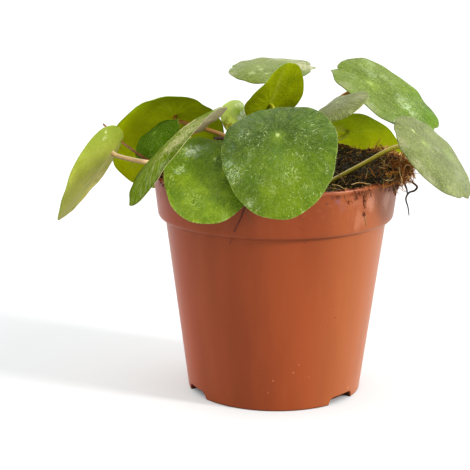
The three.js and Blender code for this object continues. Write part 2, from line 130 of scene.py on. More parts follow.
LEAVES = [
    dict(name="leaf_far_left", at=(-80.4, 4, 116.6), facing=167, tilt=57, turn=42, joint=0.6, fold=8,
         length=52, width=50, droop=(1, -2, -23, 16), lobe=0.04, wave=(0, 5, 0), radius=1.15,
         way=[(-2, -6, 110), (-30, 1, 110), (-62, 5, 111.3)],
         # Its underside's fade, darker toward the top of the blade, is painted shade.
         upper=("5f8430", "86a346"), under=("969f34", "b0b84e"), under_painted_shade=(125, -3, 15, 0.7, "6e8028"),
         stalk=("c9a06a", "dcc08e", "ecd9b4"), streak=0.12, joint_glow=0.4, specular=0.2, bloom=0.06,
         ribs=[(309, 1.5, 0.6), (30, 0.5, 0.12), (60, 0.5, 0.12)],
         # The first two under stains, small and pale near the top, are painted glints.
         under_stains_and_painted_light=[(3, 16, 2.0, 0.6, "dbe2b4"), (1, 18, 1.2, 0.5, "dbe2b4"),
                       # The pale beige under stains low on the blade are partly its curled edge's own beige
                       # and partly painted light.
                       (-2, -13, 4.5, 0.6, "ccc28c"), (22, 2, 10, 0.4, "c4c868"),
                       (6, -18, 4.5, 0.7, "dcd09c"), (12, -23, 5, 0.75, "dccc94"),
                       (22, -24, 5, 0.7, "d4ca80"), (30, -17, 5, 0.5, "ccc870"),
                       (40, -9, 3, 0.8, "7d6a2c")]),
    dict(name="leaf_back_left", at=(-51, 50, 128), facing=90, tilt=51, turn=33,
         length=66, width=63, droop=(50, 31, 46, 34), lobe=0.03, wave=(0, 6, 40), radius=1.1,
         way=[(-2, -6, 113), (-18, 16, 120), (-43, 41, 125)], under=("8f9f00", "abbb06"),
         stalk=("96682c", "b0823c"),
         ribs=[(120, 1.2, 0.05)],
         under_stains_and_painted_light=[(35, 6, 4.5, 0.5, "6f7c4a"), (38, -2, 3, 0.4, "6f7c4a"),
                       (14, 20, 12, 0.35, "889606")], **SEEN_FROM_BENEATH),
    dict(name="leaf_inner_left", at=(-60.3, 24, 123), facing=-151, tilt=40, turn=60,
         length=29, width=28, droop=(15, 15, 15, 15), lobe=0.04, wave=(0.4, 5, 0), nicks=[(100, -0.06, 9)],
         radius=0.9, way=[(-2, -6, 117), (-28, 9, 117)],
         upper=("3a5600", "466400"), under=("7f9030", "9aa84a"), stalk=("8a6a34", "9c8440"), grain=0.22,
         joint_glow=0.2, dust=0.05, lime=0.2, specular=0.0, bloom=0.0),
    dict(name="leaf_left", at=(-45.5, -22, 131), facing=165, tilt=40, turn=52,
         length=65, width=63, droop=(39, 31, 16, 0), lobe=0.05, wave=(0, 5, 90), radius=1.15,
         way=[(-2, -6, 115), (-18, -14, 118)],
         # Its near-white under colours are painted light on the shaded underside of its rolled end.
         upper=("4a5d08", "62750e"), under=("ece4c0", "fcf4dc"), streak=0.3, lime=0.25, gloss=0.34,
         specular=0.0, bloom=0.0,
         # Its pale beige stains are mostly painted sheen where the blade is seen edge-on.
         stains_and_painted_light=[(-12, -18, 7, 0.9, "ccc4a2"), (-7, -16, 6, 0.75, "c0b894"), (18, 17, 7, 0.7, "b4ae86"),
                 (22, 12, 6, 0.5, "a8a474"), (17, 21, 9, 0.7, "b2ac84"), (20, 15, 6, 0.4, "9c9a64"),
                 (8, 26, 9, 0.65, "b0aa84"), (-11, -2, 12, 0.9, "ccc4a0"), (-18, 4, 8, 0.95, "e6e0ca"),
                 (-19, -7, 7, 0.95, "e0dac2"), (-14, 14, 6, 0.8, "d8d2b8"), (-10, -10, 9, 0.8, "beb690"),
                 (-13, 12, 9, 0.9, "ccc4a2"), (0, 11, 11, 0.95, "ccc29a"), (6, 6, 8, 0.5, "b0aa7c"),
                 (-4, 3, 9, 0.6, "c4ba92"), (23, 3, 6, 0.35, "9c9a5c")], **WORN_EDGE),
    dict(name="leaf_front_left", at=(-29, -46, 122), facing=-94, tilt=35, turn=-8,
         length=49, width=47, droop=(22, 21, 11, -3), lobe=0.08, wave=(0, 5, 200), radius=1.1,
         way=[(-2, -6, 111), (-14, -26, 117)],
         upper=("425f02", "547206"), tip=("4d6800", "667a00"), fade=(0, -6, 22), streak=0.04, grain=0.16,
         mottling=0.28, veins=0.05, lime=0.25, lime_tint="c8d68c", specular=0.25, bloom=0.0,
         # Its grey-white and pale green stains are painted highlights of wet gloss.
         stains_and_painted_light=[(-3.1, -11.6, 3.8, 1.0, "e2eae6"), (-5.5, -9.5, 3.6, 0.6, "b4c4bc"),
                 (-1, -8.5, 2.4, 0.45, "94a89a"), (-8, -6, 4, 0.4, "7d9482"), (-4, -10, 10, 0.35, "6f8a58"),
                 (8.6, -13.6, 2.2, 0.6, "a4b69c"), (10.5, -15.5, 2, 0.5, "a0b298"),
                 # Its dark green stains are partly its own darker green and partly painted shadow of
                 # leaf_front.
                 (2, 3, 6, 0.75, "243c00"), (13, 10, 6, 0.5, "2f4a00"), (-12, 2, 6, 0.5, "2c4604"),
                 (18, -17, 5, 0.4, "35500a")],
         lace=[(-2, -13, 6, 0.6), (-5, -8, 5, 0.4), (8, -15, 4, 0.6), (15, -17, 4, 0.4),
               (24, -5, 5, 0.35)]),
    dict(name="leaf_front", at=(-1, -57, 135), facing=-106, tilt=44, turn=12,
         length=57, width=55, droop=(35, 20, 16, 12), lobe=0.06, wave=(0.3, 6, 0), radius=1.15,
         way=[(-2, -6, 114), (0, -30, 128)],
         upper=("2d4307", "3d570a"), tip=("465e00", "667c08"), fade=(0, -6, 30), streak=0.08, grain=0.16,
         mottling=0.12, veins=0.05, spokes=0.28, dust=0.05, lime=0.7, lime_from=(-14, 4), bloom=0.02,
         stains_and_painted_light=[(16, -21, 4.2, 0.18, "a9bfae"), (10, -23.5, 3.4, 0.4, "8fa894"),
                 (3, -22, 3, 0.3, "8fa48e"), (-5, -17, 2.6, 0.25, "93a890"),
                 (30.5, -15.5, 2.2, 0.4, "b9c6a4"), (10, -1, 6, 0.35, "5c7c44"), (18, 0, 6, 0.3, "5c7c44"),
                 (20, -14, 7, 0.4, "3c5c1c"), (12, -15, 6, 0.35, "3c5c20"), (5, 22, 8, 0.3, "4e6c24")],
         lace=[(16, -20.5, 5, 0.6), (11, -23.5, 3.5, 0.4), (-3, -15, 4, 0.4), (9.5, -13, 3, 0.25),
               (21, 5, 5, 0.35), (13, 9, 3, 0.2), (22, -8.5, 3, 0.25), (26, -4, 3, 0.2), (30, -15, 3, 0.45),
               (27, 11, 3, 0.25), (2, 21, 3, 0.2)]),
    dict(name="leaf_centre_upright", at=(-3.5, -8, 142), facing=132, tilt=61, turn=194,
         length=33, width=32, droop=(2, 16, 8, -4), lobe=0.05, wave=(1.8, 3, 84), radius=0.9,
         way=[(-2, -6, 120), (-1, -11, 131)], under=("667200", "808a00"), stalk=("8c9210", "a2a81a"),
         ribs=[(345, 2.4, 0.05)],
         under_stains_and_painted_light=[(16, 9, 6, 0.4, "5f6c00"), (-1, -9, 5, 0.4, "9aa61e")], **SEEN_FROM_BENEATH),
    dict(name="leaf_back_top", at=(-9, 26, 156), facing=-98, tilt=9, turn=86,
         length=42, width=41, droop=(0, 10, 3, 14), lobe=0.01, wave=(0.1, 5, 0), nicks=[(172, 0.07, 5),
                (6, -0.05, 3), (13, 0.065, 6), (357, 0.05, 3)], radius=1.0, way=[(-2, -6, 116),
              (-1.5, 10, 136), (-4, 20, 150)],
         upper=("4b5c08", "5f6c12"), under=("7f9030", "9aa84a"), stalk=("8f8a3a", "a09c46"), streak=0.04,
         veins=0.0, joint_glow=0.3, lime=0.3,
         stains_and_painted_light=[(3, -4.6, 1.8, 0.7, "c6d09c"), (6.7, -10, 1.8, 0.6, "c6d09c"),
                 (-0.7, -10.3, 2.4, 0.5, "bcc890"), (22, 4, 10, 0.85, "b6b28e"), (27, 1, 6, 0.7, "bab492"),
                 (16, 15, 6, 0.45, "b4b28c"), (-12, -9, 4, 0.4, "a9ad80"), (8, 16, 6, 0.4, "a5ac80")],
         **WORN_EDGE),
    dict(name="leaf_young", at=(-20, -10, 138.8), facing=-62, tilt=80, turn=17,
         length=18, width=16, droop=(50, 50, 40, 40), lobe=0.04, wave=(0.2, 4, 0), radius=0.7,
         way=[(-2, -6, 119), (-10, -7, 126), (-19, -6, 135)],
         upper=("a2b838", "c2d464"), under=("b4c24c", "ccd66a"), stalk=("8c7a34", "a8984c"), streak=0.2,
         grain=0.06, lime=0.1, gloss=0.2, bloom=0.0, coat=0.8,
         # The white and pale yellow stains are painted highlights; the brown ones are its own colour.
         stains_and_painted_light=[(3.5, 3, 3.4, 1.0, "fafbf4"), (5.9, 1.2, 2.6, 0.9, "f4f6e8"),
                 (5.5, -5, 3.4, 0.75, "8a7428"), (2, -6, 2.4, 0.6, "6f6428"), (-4, -3, 3, 0.3, "9fb04a"),
                 (-2, 3, 2.6, 0.7, "eff5c0")]),
    dict(name="leaf_right", at=(46, 14, 149.5), facing=-42, tilt=38, turn=23,
         length=58, width=56, droop=(0, 21, 6, -14), lobe=0.05, wave=(0.3, 7, 0), nicks=[(200, -0.05, 5),
                (184, 0.07, 5), (3, 0.05, 4), (352, -0.02, 4)], radius=1.15, way=[(-2, -6, 112),
              (16, 0, 130), (33, 7, 144.5)],
         upper=("4a5a12", "5c6e20"), tip=("3f5a06", "56740c"), fade=(10, 6, 34), stalk=("a8763c", "b98a4c"),
         streak=0.02, grain=0.3, joint_glow=0.3, specular=0.1,
         stains_and_painted_light=[(-7, 20, 4, 0.3, "a9b89a"), (-3, 9, 4.6, 0.35, "a0b290"), (3, 14, 3.4, 0.25, "a2b390"),
                 (-10, -3, 6, 0.35, "8a9a68"), (17, 6, 5, 0.4, "a4b496"), (20.5, 2.4, 4.4, 0.45, "b4c2ac"),
                 (25, 1, 3.6, 0.35, "acbc9e"), (33, 11, 6, 0.5, "5a8206"), (37, 0, 4, 0.4, "6a8e10"),
                 (-8, -19, 6, 0.5, "98987a"), (8, -23, 6, 0.5, "94957a"), (24, -20, 5, 0.5, "8a9074")],
         lace=[(20, 3, 6, 0.25), (-6, 14, 8, 0.25), (27, 1, 5, 0.3)], **WORN_EDGE),
    dict(name="leaf_far_right", at=(67.5, -28, 127), facing=-28, tilt=44, turn=16,
         length=49, width=47, droop=(9, 6, 2, 15), lobe=0.01, wave=(0, 5, 0), nicks=[(350, -0.035, 4),
                (343, 0.03, 4), (30, 0.02, 5)], radius=1.1, way=[(14, -20, 100.5), (28, -20, 108.6),
              (40, -20, 115.2), (56, -24.5, 124.6)],
         # Its third stalk colour is a painted highlight along the top of the stalk.
         upper=("495020", "5e6632"), stalk=("a89c1c", "c8b840", "fff2b8"), streak=0.05, grain=0.26,
         joint_glow=0.2, lime=0.28,
         stains_and_painted_light=[(-9, -15, 5, 0.5, "9c947c"), (3, -20, 5, 0.45, "9c967c"), (12, -22, 5, 0.4, "a09c80"),
                 (29, 3, 0.8, 0.95, "2a2814"), (15, 12, 6, 0.35, "7f9c48"), (-7, 2, 1.6, 0.6, "c4cf92"),
                 (24, -12, 6, 0.3, "a8ae74"), (0, 14, 4, 0.3, "8a9c58"), (8, 6, 3, 0.25, "b9c29c")],
         **WORN_EDGE),
    dict(name="leaf_inner_right", at=(28, -18, 144.3), facing=191, tilt=29, turn=94,
         length=29, width=28, droop=(17, 4, 16, 15), lobe=0.03, wave=(0.3, 5, 0), radius=0.9,
         way=[(-2, -6, 117), (15, -12, 131)],
         upper=("565c14", "6e7432"), streak=0.35, grain=0.2, lime=0.15, bloom=0.05,
         stains_and_painted_light=[(8, 9, 4, 0.4, "a39c7c"), (-5, -8, 4, 0.35, "7f8c34"), (-8, -3, 3, 0.4, "a5b05a")]),
    dict(name="leaf_back_right", at=(39, 54, 120), facing=67, tilt=45, turn=-42,
         length=50, width=48, droop=(18, 50, 12, 10), lobe=0.06, wave=(0.3, 5, 0), radius=1.05,
         way=[(-2, -6, 114), (18, 20, 117), (34, 46, 117)], under=("9cb600", "c0d606"),
         stalk=("929c1c", "b0b43c"),
         ribs=[(300, 1.4, 0.05)],
         under_stains_and_painted_light=[(-5, 2, 5, 0.7, "bdb26a"), (-4, 9, 5, 0.6, "b8b050"), (7, 12, 5, 0.5, "b4b238"),
                       (-0.3, 5, 1.3, 0.75, "8a3a1c"), (13, 11, 5, 0.4, "b4b83a")], **SEEN_FROM_BENEATH),
]


def body_radius(z):
    return FOOT_RADIUS + (BODY_TOP_RADIUS - FOOT_RADIUS) * z / COLLAR_LOW_Z


def collar_radius(z):
    share = (z - COLLAR_LOW_Z) / (POT_HEIGHT - COLLAR_LOW_Z)
    return COLLAR_LOW_RADIUS + (RIM_RADIUS - COLLAR_LOW_RADIUS) * share


def on_wall(azimuth, z, off=0.25):
    """A point on the outside of the pot, in the direction given in degrees."""
    r = (collar_radius(z) if z > COLLAR_LOW_Z else body_radius(z)) + off
    a = math.radians(azimuth)
    return (r * math.cos(a), r * math.sin(a), z)


def linear(colour):
    """A hex colour as linear red, green, blue and alpha."""
    parts = [int(colour[i:i + 2], 16) / 255 for i in (0, 2, 4)]
    return [c / 12.92 if c < 0.04045 else ((c + 0.055) / 1.055) ** 2.4 for c in parts] + [1.0]


# Finishes: the procedural materials and the short calls that build them.


class Number:
    """A number that a node of a finish gives. Plain arithmetic on it adds further nodes."""

    def __init__(self, finish, socket):
        self.finish = finish
        self.socket = socket

    def __add__(self, other):
        return self.finish.math("ADD", self, other)

    def __sub__(self, other):
        return self.finish.math("SUBTRACT", self, other)

    def __rsub__(self, other):
        return self.finish.math("SUBTRACT", other, self)

    def __mul__(self, other):
        return self.finish.math("MULTIPLY", self, other)

    def __truediv__(self, other):
        return self.finish.math("DIVIDE", self, other)

    def __abs__(self):
        return self.finish.math("ABSOLUTE", self)


class Finish:
    """The node tree of one finish, with short calls for the nodes it is made of."""

    def __init__(self, name, tree=None):
        if tree is None:
            self.material = bpy.data.materials.new(name)
            self.material.use_nodes = True
            tree = self.material.node_tree
            tree.nodes.clear()
        self.tree = tree

    def node(self, kind, inputs=(), **settings):
        made = self.tree.nodes.new(kind)
        for key, value in settings.items():
            setattr(made, key, value)
        for key, value in dict(inputs).items():
            value = value.socket if isinstance(value, Number) else value
            if isinstance(value, bpy.types.NodeSocket):
                self.tree.links.new(value, made.inputs[key])
            elif value is not None:
                made.inputs[key].default_value = value
        return made

    def number(self, kind, inputs=(), output=0, **settings):
        return Number(self, self.node(kind, inputs, **settings).outputs[output])

    def math(self, operation, a, b=None, clamp=False):
        return self.number("ShaderNodeMath", {0: a, 1: b}, operation=operation, use_clamp=clamp)

    def most(self, a, b):
        return self.math("MAXIMUM", a, b)

    def step(self, value, low, high, start=0.0, end=1.0):
        """Runs smoothly from start to end while the value goes from low to high."""
        sockets = {0: value, 1: low, 2: high, 3: start, 4: end}
        return self.number("ShaderNodeMapRange", sockets, interpolation_type="SMOOTHSTEP")

    def noise(self, vector, scale, detail=3.0, roughness=0.55, distortion=0.0):
        sockets = {"Vector": vector, "Scale": scale, "Detail": detail, "Roughness": roughness,
                   "Distortion": distortion}
        return self.number("ShaderNodeTexNoise", sockets)

    def kept(self, name):
        """The number kept at the mesh's points under this name."""
        return self.number("ShaderNodeAttribute", output="Fac", attribute_name=name)

    def vector(self, operation, a, b=None):
        return self.node("ShaderNodeVectorMath", {0: a, 1: b}, operation=operation).outputs[0]

    def scaled(self, vector, amount):
        return self.node("ShaderNodeVectorMath", {0: vector, 3: amount}, operation="SCALE").outputs[0]

    def joined(self, x=0.0, y=0.0, z=0.0):
        return self.node("ShaderNodeCombineXYZ", {0: x, 1: y, 2: z}).outputs[0]

    def split(self, value, kind="XYZ"):
        return [Number(self, part) for part in self.node("ShaderNodeSeparate" + kind, {0: value}).outputs]

    def distance(self, place, spot):
        off = self.vector("SUBTRACT", place, spot)
        return self.number("ShaderNodeVectorMath", {0: off}, "Value", operation="LENGTH")

    def object_place(self):
        """Object coordinates in millimetres."""
        return self.scaled(self.node("ShaderNodeTexCoord").outputs["Object"], 1 / MM)

    def mix(self, share, a, b):
        a = linear(a) if isinstance(a, str) else a
        b = linear(b) if isinstance(b, str) else b
        return self.node("ShaderNodeMix", {0: share, 6: a, 7: b}, data_type="RGBA").outputs[2]

    def coated(self, colour, coats):
        """The colour under thin coats of others, each given as its strength and its own colour."""
        for share, coat in coats:
            colour = self.mix(share, colour, coat)
        return colour

    def bump(self, height, distance):
        sockets = {"Height": height, "Distance": distance * MM, "Strength": 1.0}
        return self.node("ShaderNodeBump", sockets).outputs[0]

    def surface(self, colour, roughness, normal=None, **fixed):
        sockets = {"Base Color": colour, "Roughness": roughness, "Normal": normal}
        sockets.update({key.replace("_", " "): value for key, value in fixed.items()})
        shader = self.node("ShaderNodeBsdfPrincipled", sockets)
        self.node("ShaderNodeOutputMaterial", {"Surface": shader.outputs[0]})
        return self.material


def new_group(name, *numbers):
    """A shader node group that turns a place on the flat blade and the named numbers into a mask."""
    tree = bpy.data.node_groups.new(name, "ShaderNodeTree")
    tree.interface.new_socket("Place", in_out="INPUT", socket_type="NodeSocketVector")
    for key in numbers:
        tree.interface.new_socket(key, in_out="INPUT", socket_type="NodeSocketFloat")
    tree.interface.new_socket("Mask", in_out="OUTPUT", socket_type="NodeSocketFloat")
    group = Finish(name, tree)
    given = group.node("NodeGroupInput").outputs
    return group, given["Place"], [Number(group, given[key]) for key in numbers]


def lime_dashes_group():
    """Short bent dashes of limescale, one at most in each cell, seen on the flat blade."""
    g, place, (cell, half_length, half_width, bend, share, seed) = new_group(
        "lime_dashes", "Cell", "Half length", "Half width", "Bend", "Share", "Seed")
    place = g.vector("ADD", g.scaled(place, g.math("DIVIDE", 1.0, cell)), g.joined(seed, seed))
    cells = g.node("ShaderNodeTexVoronoi", {"Vector": place, "Scale": 1.0, "Randomness": 1.0},
                   voronoi_dimensions="2D", feature="F1").outputs
    away_x, away_y, _ = g.split(g.scaled(g.vector("SUBTRACT", place, cells["Position"]), cell))
    chance = g.split(cells["Color"], "Color")
    angle = chance[0] * (2 * math.pi)
    c = g.math("COSINE", angle)
    s = g.math("SINE", angle)
    along = away_x * c + away_y * s
    off = abs(away_y * c - away_x * s - along * along * bend)
    reach = half_length * (chance[1] * 0.8 + 0.2)
    thin = g.step(off, half_width, half_width * 0.4)
    short = g.step(abs(along), reach, reach * 0.8)
    chosen = g.math("LESS_THAN", chance[2], share) * (chance[1] * 0.6 + 0.4)
    g.node("NodeGroupOutput", {0: thin * short * chosen})
    return g.tree


def leaf_veins_group():
    """Main veins that run out from the stalk's joint, seen on the flat blade."""
    g, place, (count, width, wander, seed) = new_group("leaf_veins", "Count", "Width", "Wander", "Seed")
    x, y, share = g.split(place)
    reach = g.math("POWER", x * x + y * y, 0.5)
    wobble = (g.noise(g.joined(x, y, seed), 0.09, 2.0) - 0.5) * wander
    turns = g.math("ARCTAN2", y, x) / (2 * math.pi) + 0.5
    lane = g.math("FRACT", turns * count + wobble)
    off = abs(lane - 0.5) * (reach * (2 * math.pi)) / count
    width = width * (1.1 - share * 0.85)
    line = g.step(off, width, width * 0.2)
    g.node("NodeGroupOutput", {0: line * g.step(share, 0.99, 0.7, 0.25, 1.0)})
    return g.tree


LIME_DASHES = lime_dashes_group()
LEAF_VEINS = leaf_veins_group()


def leaf_finish(leaf, seed):
    """Upper face waxy green with faint veins and limescale; underside paler and matt, with ribs."""
    f = Finish(leaf["name"] + "_skin")
    flat = f.node("ShaderNodeAttribute", attribute_name="blade_place").outputs["Vector"]
    x, y, share = f.split(flat)
    depth = 7.3 * seed
    plane = f.joined(x, y, depth)
    broad = f.noise(plane, 0.06, 3.0)
    mottle = f.noise(plane, 0.5, 4.0, 0.65)
    fine = f.noise(plane, 2.4, 3.0)
    grain = f.noise(plane, 1.1, 3.0, 0.6)
    crackle = f.step(f.noise(plane, 0.9, 5.0, 0.75, 0.6), 0.45, 0.55, 0.15, 1.0)
    outward = f.vector("NORMALIZE", f.vector("MULTIPLY", flat, (1.0, 1.0, 0.0)))
    spoke = f.vector("ADD", f.scaled(outward, 6.0), f.joined(z=share * 1.4 + 2.9 * seed))
    streak = f.step(f.noise(spoke, 3.2, 4.0, 0.7), 0.3, 0.7, -1.0, 1.0) * f.step(share, 0.02, 0.3, 0.2, 1.0)
    pale_streak = f.most(streak, 0.0) * leaf["streak"]
    veins = f.number("ShaderNodeGroup", node_tree=LEAF_VEINS, inputs={
        "Place": flat, "Count": 9.0, "Width": 0.5, "Wander": 0.6, "Seed": 3.1 * seed})

    def dashes(cell, length, width, bend, part, offset):
        return f.number("ShaderNodeGroup", node_tree=LIME_DASHES, inputs={
            "Place": plane, "Cell": cell, "Half length": length, "Half width": width, "Bend": bend,
            "Share": part, "Seed": 5.7 * seed + offset})

    def green(dark, light):
        return f.mix(f.step(broad + mottle * 0.35, 0.45, 0.85), dark, light)

    def way_along(direction, ragged):
        """How far a place lies from the joint in this direction, with a ragged front."""
        turn = math.radians(direction)
        return (mottle - 0.5) * ragged + (x * math.cos(turn) + y * math.sin(turn))

    # Patches of colour on the blade: real stains and, on some leaves, painted highlights, reflections and
    # shade.
    def stain_and_light(colour, stains_and_painted_light):
        for px, py, radius, strength, tint in stains_and_painted_light:
            ragged = (mottle - 0.5) * (2.6 * radius) + (fine - 0.5) * (0.9 * radius)
            spot = f.step(f.distance(plane, (px, py, depth)) + ragged, radius, radius * 0.3, 0.0, strength)
            colour = f.mix(spot * crackle, colour, tint)
        return colour

    # Upper face.
    top = green(*leaf["upper"])
    if leaf["fade"]:
        direction, start, end = leaf["fade"]
        top = f.mix(f.step(way_along(direction, 14.0), start, end), top, green(*leaf["tip"]))
    dark_streak = f.most(streak * -1.0, 0.0) * leaf["streak"]
    blotches = f.step(f.noise(plane, 0.2, 4.0, 0.6, 0.4), 0.46, 0.7, 0.0, leaf["mottling"])
    top = f.coated(top, [
        (f.step(mottle, 0.4, 0.75, 0.0, 0.25), leaf["upper"][1]),
        (f.step(fine, 0.5, 0.7, 0.0, 0.2), "a3b454"),
        (f.step(grain, 0.5, 0.68, 0.0, leaf["grain"]), "9db04a"),
        (f.step(grain, 0.48, 0.3, 0.0, leaf["grain"] + 0.08), "2c4204"),
        (veins * leaf["veins"], "9db060"),
        (pale_streak, "b3b58c"),
        (dark_streak, "4a5c1c"),
        (blotches, "90a416"),
        (f.step(share, 0.2, 0.02, 0.0, 0.25), "8fa644"),
        (f.step(share, 0.055, 0.0, 0.0, leaf["joint_glow"]), "c3d088")])
    if leaf["spokes"]:
        spokes = f.step(f.noise(f.scaled(outward, 22.0), 3.2, 1.0), 0.52, 0.66)
        spokes = spokes * (f.step(share, 0.2, 0.5) * f.step(x, 4.0, -4.0))
        spokes = spokes * f.step(mottle, 0.4, 0.55, 0.3, 1.0)
        top = f.mix(spokes * leaf["spokes"], top, "9fb486")
    dust = f.step(f.noise(plane, 0.11, 4.0, 0.6), 0.52, 0.8, 0.0, leaf["dust"])
    top = stain_and_light(f.mix(dust, top, "a9b69c"), leaf["stains_and_painted_light"])

    # Limescale: dashes and trails all over, and a lace of rings and twigs where drops have dried.
    crusts = f.most(dashes(3.4, 1.5, 0.2, 0.4, 0.45, 0.0), dashes(2.3, 0.7, 0.18, 0.8, 0.45, 9.0))
    crusts = f.most(crusts, dashes(1.5, 0.2, 0.26, 0.0, 0.2, 17.0))
    trail = abs(f.noise(plane, 0.2, 2.0, 0.5, 0.5) - 0.5)
    trail = f.step(trail, 0.006, 0.002) * f.step(f.noise(plane, 0.3, 2.0), 0.52, 0.6)
    where = f.step(f.noise(plane, 0.11, 3.0), 0.42, 0.6, 0.22, 1.0)
    where = where * f.step(f.noise(plane, 0.9, 2.0), 0.35, 0.6, 0.5, 1.0)
    clean, crusted = leaf["lime_from"]
    crusts = f.most(crusts, trail) * where * f.step(x, clean, crusted, 0.3, leaf["lime"])
    if leaf["lace"]:
        rings = abs(f.noise(plane, 0.3, 1.0, 0.5, 0.9) - 0.5)
        twigs = abs(f.noise(plane, 0.5, 1.0, 0.6, 0.5) - 0.5)
        lace = f.most(f.step(rings, 0.03, 0.01), f.step(twigs, 0.035, 0.012) * 0.7)
        patches = 0.0
        for px, py, radius, strength in leaf["lace"]:
            off = (mottle - 0.5) * (3.4 * radius) + f.distance(plane, (px, py, depth))
            patches = f.most(f.step(off, 1.15 * radius, radius * 0.3, 0.0, strength), patches)
        crusts = f.most(crusts, lace * f.step(mottle, 0.36, 0.5, 0.2, 1.0) * patches)
    edge = f.step(share, 0.985, 1.0) * f.step(grain, 0.4, 0.6, 0.0, leaf["edge"])
    top = f.coated(top, [(crusts, leaf["lime_tint"]), (edge, leaf["edge_tint"])])

    # Underside.
    low = f.coated(f.mix(f.step(broad + fine * 0.2, 0.4, 0.8), *leaf["under"]), [
        (f.step(mottle, 0.4, 0.7, 0.0, 0.2), leaf["under"][0]),
        (veins * 0.03, "bcc25c"),
        (f.step(grain, 0.5, 0.7, 0.0, 0.18), "c0c840"),
        (f.step(grain, 0.48, 0.3, 0.0, 0.22), "5a6200"),
        (pale_streak, "c8c690")])
    for direction, width, strength in leaf["ribs"]:
        c = math.cos(math.radians(direction))
        s = math.sin(math.radians(direction))
        across = abs((broad - 0.5) * 4.0 + (y * c - x * s))
        line = f.step(across, width, width * 0.15) * f.step(x * c + y * s, 0.0, 1.0)
        low = f.mix(line * f.step(share, 1.0, 0.6, 0.35, 1.0) * strength, low, "d2cc84")
    # Painted shade over part of the underside.
    if leaf["under_painted_shade"]:
        direction, start, end, strength, tint = leaf["under_painted_shade"]
        low = f.mix(f.step(way_along(direction, 6.0), start, end, 0.0, strength), low, tint)
    low = f.coated(stain_and_light(low, leaf["under_stains_and_painted_light"]), [
        (f.step(share, 0.06, 0.01, 0.0, 0.5), leaf["stalk"][1]),
        (f.step(share, 0.975, 1.0, 0.0, 0.35), "6a6a24")])

    under = f.kept("underside")
    colour = f.mix(f.step(under, 0.35, 0.65), top, low)
    roughness = (dust + crusts) * 0.3 + f.step(under, 0.3, 0.7, leaf["gloss"], 0.6)
    roughness = f.math("ADD", roughness, (fine - 0.5) * 0.2, clamp=True)
    height = mottle * 1.6 + (fine + grain) * 0.8 + veins * f.step(under, 0.4, 0.6, -0.1, 0.06)
    height = height + crusts * 0.5 + streak * leaf["streak"]
    return f.surface(colour, roughness, f.bump(height, 0.16), Specular_IOR_Level=leaf["specular"],
                     Sheen_Weight=leaf["bloom"], Sheen_Roughness=0.35, Sheen_Tint=(0.92, 0.93, 0.84, 1.0),
                     Subsurface_Weight=0.1, Subsurface_Radius=(0.6, 1.0, 0.2), Subsurface_Scale=1.0 * MM,
                     Coat_Weight=leaf["coat"], Coat_Roughness=0.15)


def stalk_finish(name, colours):
    """Leaf stalk: green to straw or reddish brown, darker towards the stem, with fine lengthwise streaks, a
    painted highlight along its top and painted shade along its underside.
    """
    f = Finish(name + "_stalk_skin")
    place = f.object_place()
    topside = f.kept("topside")
    streak = f.noise(f.vector("MULTIPLY", place, (0.5, 0.5, 2.5)), 1.1, 4.0, 0.6)
    blotch = f.noise(place, 0.18, 3.0)
    skin = f.coated(f.mix(f.step(streak, 0.3, 0.7), colours[0], colours[1]), [
        (f.step(blotch, 0.5, 0.75, 0.0, 0.25), "7d4f28"),
        (f.step(f.kept("along"), 0.5, 0.0, 0.0, 0.3), "4e4a1c"),
        # Painted highlight along the top of the stalk, and painted shade along its underside.
        (f.step(topside, 0.35, 0.9, 0.0, 0.55), colours[-1]),
        (f.step(topside, 0.1, -0.7, 0.0, 0.5), "4a3c10")])
    return f.surface(skin, f.step(streak, 0.2, 0.8, 0.38, 0.58), f.bump(streak * 0.8 + blotch * 0.6, 0.15),
                     Subsurface_Weight=0.1, Subsurface_Radius=(0.8, 0.8, 0.3), Subsurface_Scale=1.0 * MM)


# Stains on the pot's wall: direction in degrees, height, radius, strength, colour.
WALL_STAINS = [
    (-63.4, 104, 2.0, 0.6, "7d5560"), (-66.1, 106.1, 1.4, 0.6, "4a2c26"), (-60, 101, 3.0, 0.3, "8a5c54"),
    (-68.7, 103.5, 0.9, 0.6, "5a3228"), (-69.5, 100.5, 0.7, 0.5, "5a3228"), (-53, 103, 4.5, 0.35, "96604c"),
    (-44, 101, 5.0, 0.35, "b98a78"), (-30, 100, 6.0, 0.4, "c49c8a"), (-50, 94, 6.0, 0.25, "b5806a"),
    (-80.9, 99, 0.6, 0.6, "5a3022"), (-77.1, 84.7, 0.6, 0.5, "5a3022"), (-73, 97, 0.5, 0.5, "6a3a2a"),
    (-56, 46, 0.6, 0.8, "4f2618"), (-60.5, 42, 0.7, 0.8, "4f2618"), (-58, 52, 0.5, 0.7, "4f2618"),
    (-95.1, 9.7, 0.5, 0.6, "bd8870"), (-85.9, 12.3, 0.6, 0.6, "bd8870"), (-80, 20, 0.6, 0.6, "bd8870"),
    (-77, 24, 0.5, 0.5, "bd8870"), (-92, 16, 0.6, 0.5, "bd8870"), (-70, 17, 0.6, 0.5, "bd8870"),
    (-35.4, 5.9, 0.7, 0.5, "bd8870"), (-156, 106, 2.2, 0.7, "4a2a1a"), (-154, 103, 1.5, 0.5, "6a3a22"),
]


